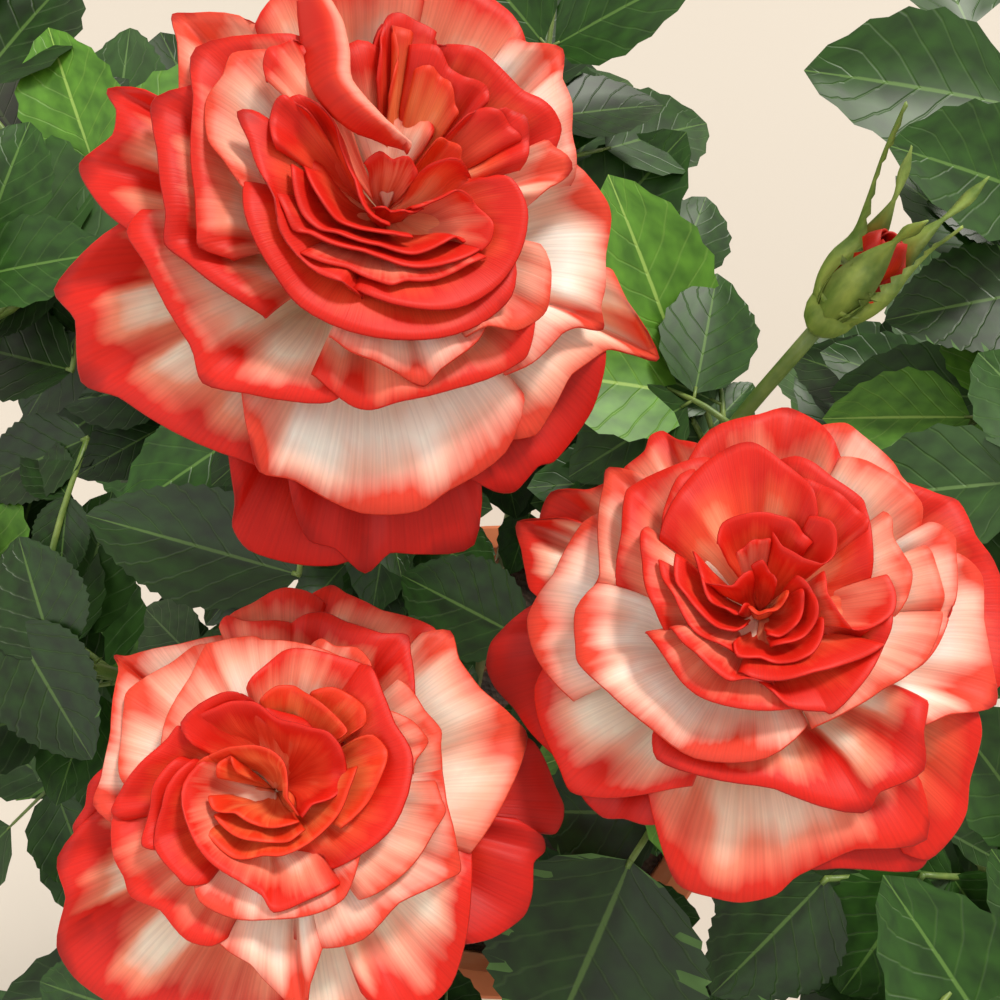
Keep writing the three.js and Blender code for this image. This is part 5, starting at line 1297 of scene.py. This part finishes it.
# A sepal that hugs the bud, then stands away from it: heights and reaches along it, and its widths
def budSepal(turn, tip, flare, broad, toothed):
    heights = [8, 14, 21, 28, 36, 0.5 * (36 + tip), tip]
    reaches = [6.2, 8.6, 9.6, 8.6, 8 + 0.25 * flare, 8 + 0.65 * flare, 8 + flare]
    line = Path([[reach, 0, height] for reach, height in zip(reaches, heights)])
    rows, vertices = 26, []
    for i in range(rows + 1):
        t = i / rows
        reach, _, height = line.pointAt(t)
        half = 0.5 * broad * max(0.13, math.sin(math.pi * (0.25 + 0.75 * min(1, 1.35 * t))) ** 1.1) * (1 - 0.25 * t)
        # Its tip widens to a small leaf of its own
        half += 1.1 * math.exp(-((t - 0.86) / 0.09) ** 2) - 0.5 * max(0, t - 0.9) / 0.1
        if toothed and t > 0.3 and i % 2 == 0:
            half += 1.9 * (1 - t) + 0.9
        for hand, drop in ((-1, -0.2), (0, 0.45), (1, -0.2), (0, -0.35)):
            sideways = half * hand / max(reach, 6)
            bend = math.radians(turn) + sideways + 0.25 * t * t
            out = math.cos(bend) * budFrame["u"] + math.sin(bend) * budFrame["v"]
            vertices.append(budFrame["centre"] + (reach + drop) * out + height * budFrame["n"])
    return vertices, tubeFaces(rows + 1, 4)


# Each sepal: its turn, the height of its tip, how far it stands out there, its width, and whether it has side lobes
for sepal in ((150, 61, 11, 13, True), (78, 47, 7, 12, False), (8, 49, 11, 12, False), (-66, 44, 2, 14, True),
              (-138, 47, 8, 13, False)):
    gathered.add(*budSepal(*sepal))
calyx = addPiece("bud calyx", gathered.vertices, gathered.faces, [sepalSkin])
settle(calyx, "bud", "bud")

# The bud's petals: overlapping scrolls drawn in to a point
for k in range(bud["scrolls"]):
    rows, columns = 16, 22
    points, blush, uv = [], [], []
    reach = 8.4 - 1.2 * k
    tall = bud["height"] - 1.2 * abs(k - 2)
    for i in range(rows + 1):
        t = i / rows
        swell = math.sin(math.pi * (0.1 + 0.8 * t)) ** 0.8
        for j in range(columns):
            s = j / (columns - 1)
            turn = math.radians(k * 137.5 + 230 * (s - 0.5) * (1 - 0.25 * t))
            radius = reach * swell * (1 + 0.12 * s) + 0.04 * k + 0.6 * t * t * s
            edge = 1 - abs(2 * s - 1) ** 3
            height = 10 + (tall - 10) * t * (0.82 + 0.18 * edge)
            points.append(budFrame["centre"] + height * budFrame["n"]
                          + radius * (math.cos(turn) * budFrame["u"] + math.sin(turn) * budFrame["v"]))
            blush.append(min(1, 0.35 + 0.75 * t + 0.2 * (1 - edge)))
            uv.append((20 * s + 40 * k, 25 * (1 - t)))
    petal = addPiece("bud petal %d" % (k + 1), points, gridFaces(rows, columns),
                     [petalLooks["orange"]["material"]], "petal", uv)
    petal.data.attributes.new("blush", "FLOAT", "POINT").data.foreach_set("value", np.array(blush, dtype=np.float32))
    applyModifier(petal, "thin", "SOLIDIFY", thickness=bud["thickness"] * mm, offset=0)
    settle(petal, "bud", "bud")
print("calyx and bud")

# Every petal's faces point outward
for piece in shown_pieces():
    if piece.type == "MESH" and "petal" in piece.name:
        choose(piece)
        bpy.ops.object.mode_set(mode="EDIT")
        bpy.ops.mesh.select_all(action="SELECT")
        bpy.ops.mesh.normals_make_consistent(inside=False)
        bpy.ops.object.mode_set(mode="OBJECT")

# Floor, light and camera: high soft sun from the far right, a weak fill, and an even sky
studio = {"sunEnergy": 3.0, "sunAngle": 14, "fillEnergy": 14, "skyStrength": 0.84, "lens": 36, "cameraTilt": 14}
bpy.ops.mesh.primitive_plane_add(size=12, location=(0, 0, 0))
floor = bpy.context.active_object
floor.name = "floor"
floorSkin, _, floorShader = newMaterial("paleFloor", Roughness=0.7)
floorShader.inputs["Base Color"].default_value = linear("C6BFB4")
floor.data.materials.append(floorSkin)

bpy.ops.object.light_add(type="SUN", rotation=(math.radians(-38), math.radians(32), 0))
sun = bpy.context.active_object
sun.data.energy = studio["sunEnergy"]
sun.data.angle = math.radians(studio["sunAngle"])
sun.data.color = (1, 0.96, 0.9)
bpy.ops.object.light_add(type="AREA", location=(-1.2, -0.6, 2.2), rotation=(math.radians(-15), math.radians(-30), 0))
fill = bpy.context.active_object
fill.data.energy = studio["fillEnergy"]
fill.data.size = 2
world = bpy.data.worlds.new("sky")
bpy.context.scene.world = world
world.use_nodes = True
sky = world.node_tree.nodes["Background"].inputs
sky["Color"].default_value = (1, 0.92, 0.83, 1)
sky["Strength"].default_value = studio["skyStrength"]

bpy.ops.object.camera_add(location=(0, 0, 0.98), rotation=(math.radians(studio["cameraTilt"]), 0, 0))
camera = bpy.context.active_object
camera.data.lens = studio["lens"]
camera.data.sensor_width = 36
camera.data.clip_start = 0.02
bpy.context.scene.camera = camera
bpy.context.scene.view_settings.view_transform = "Standard"
print("floor, lights and camera")
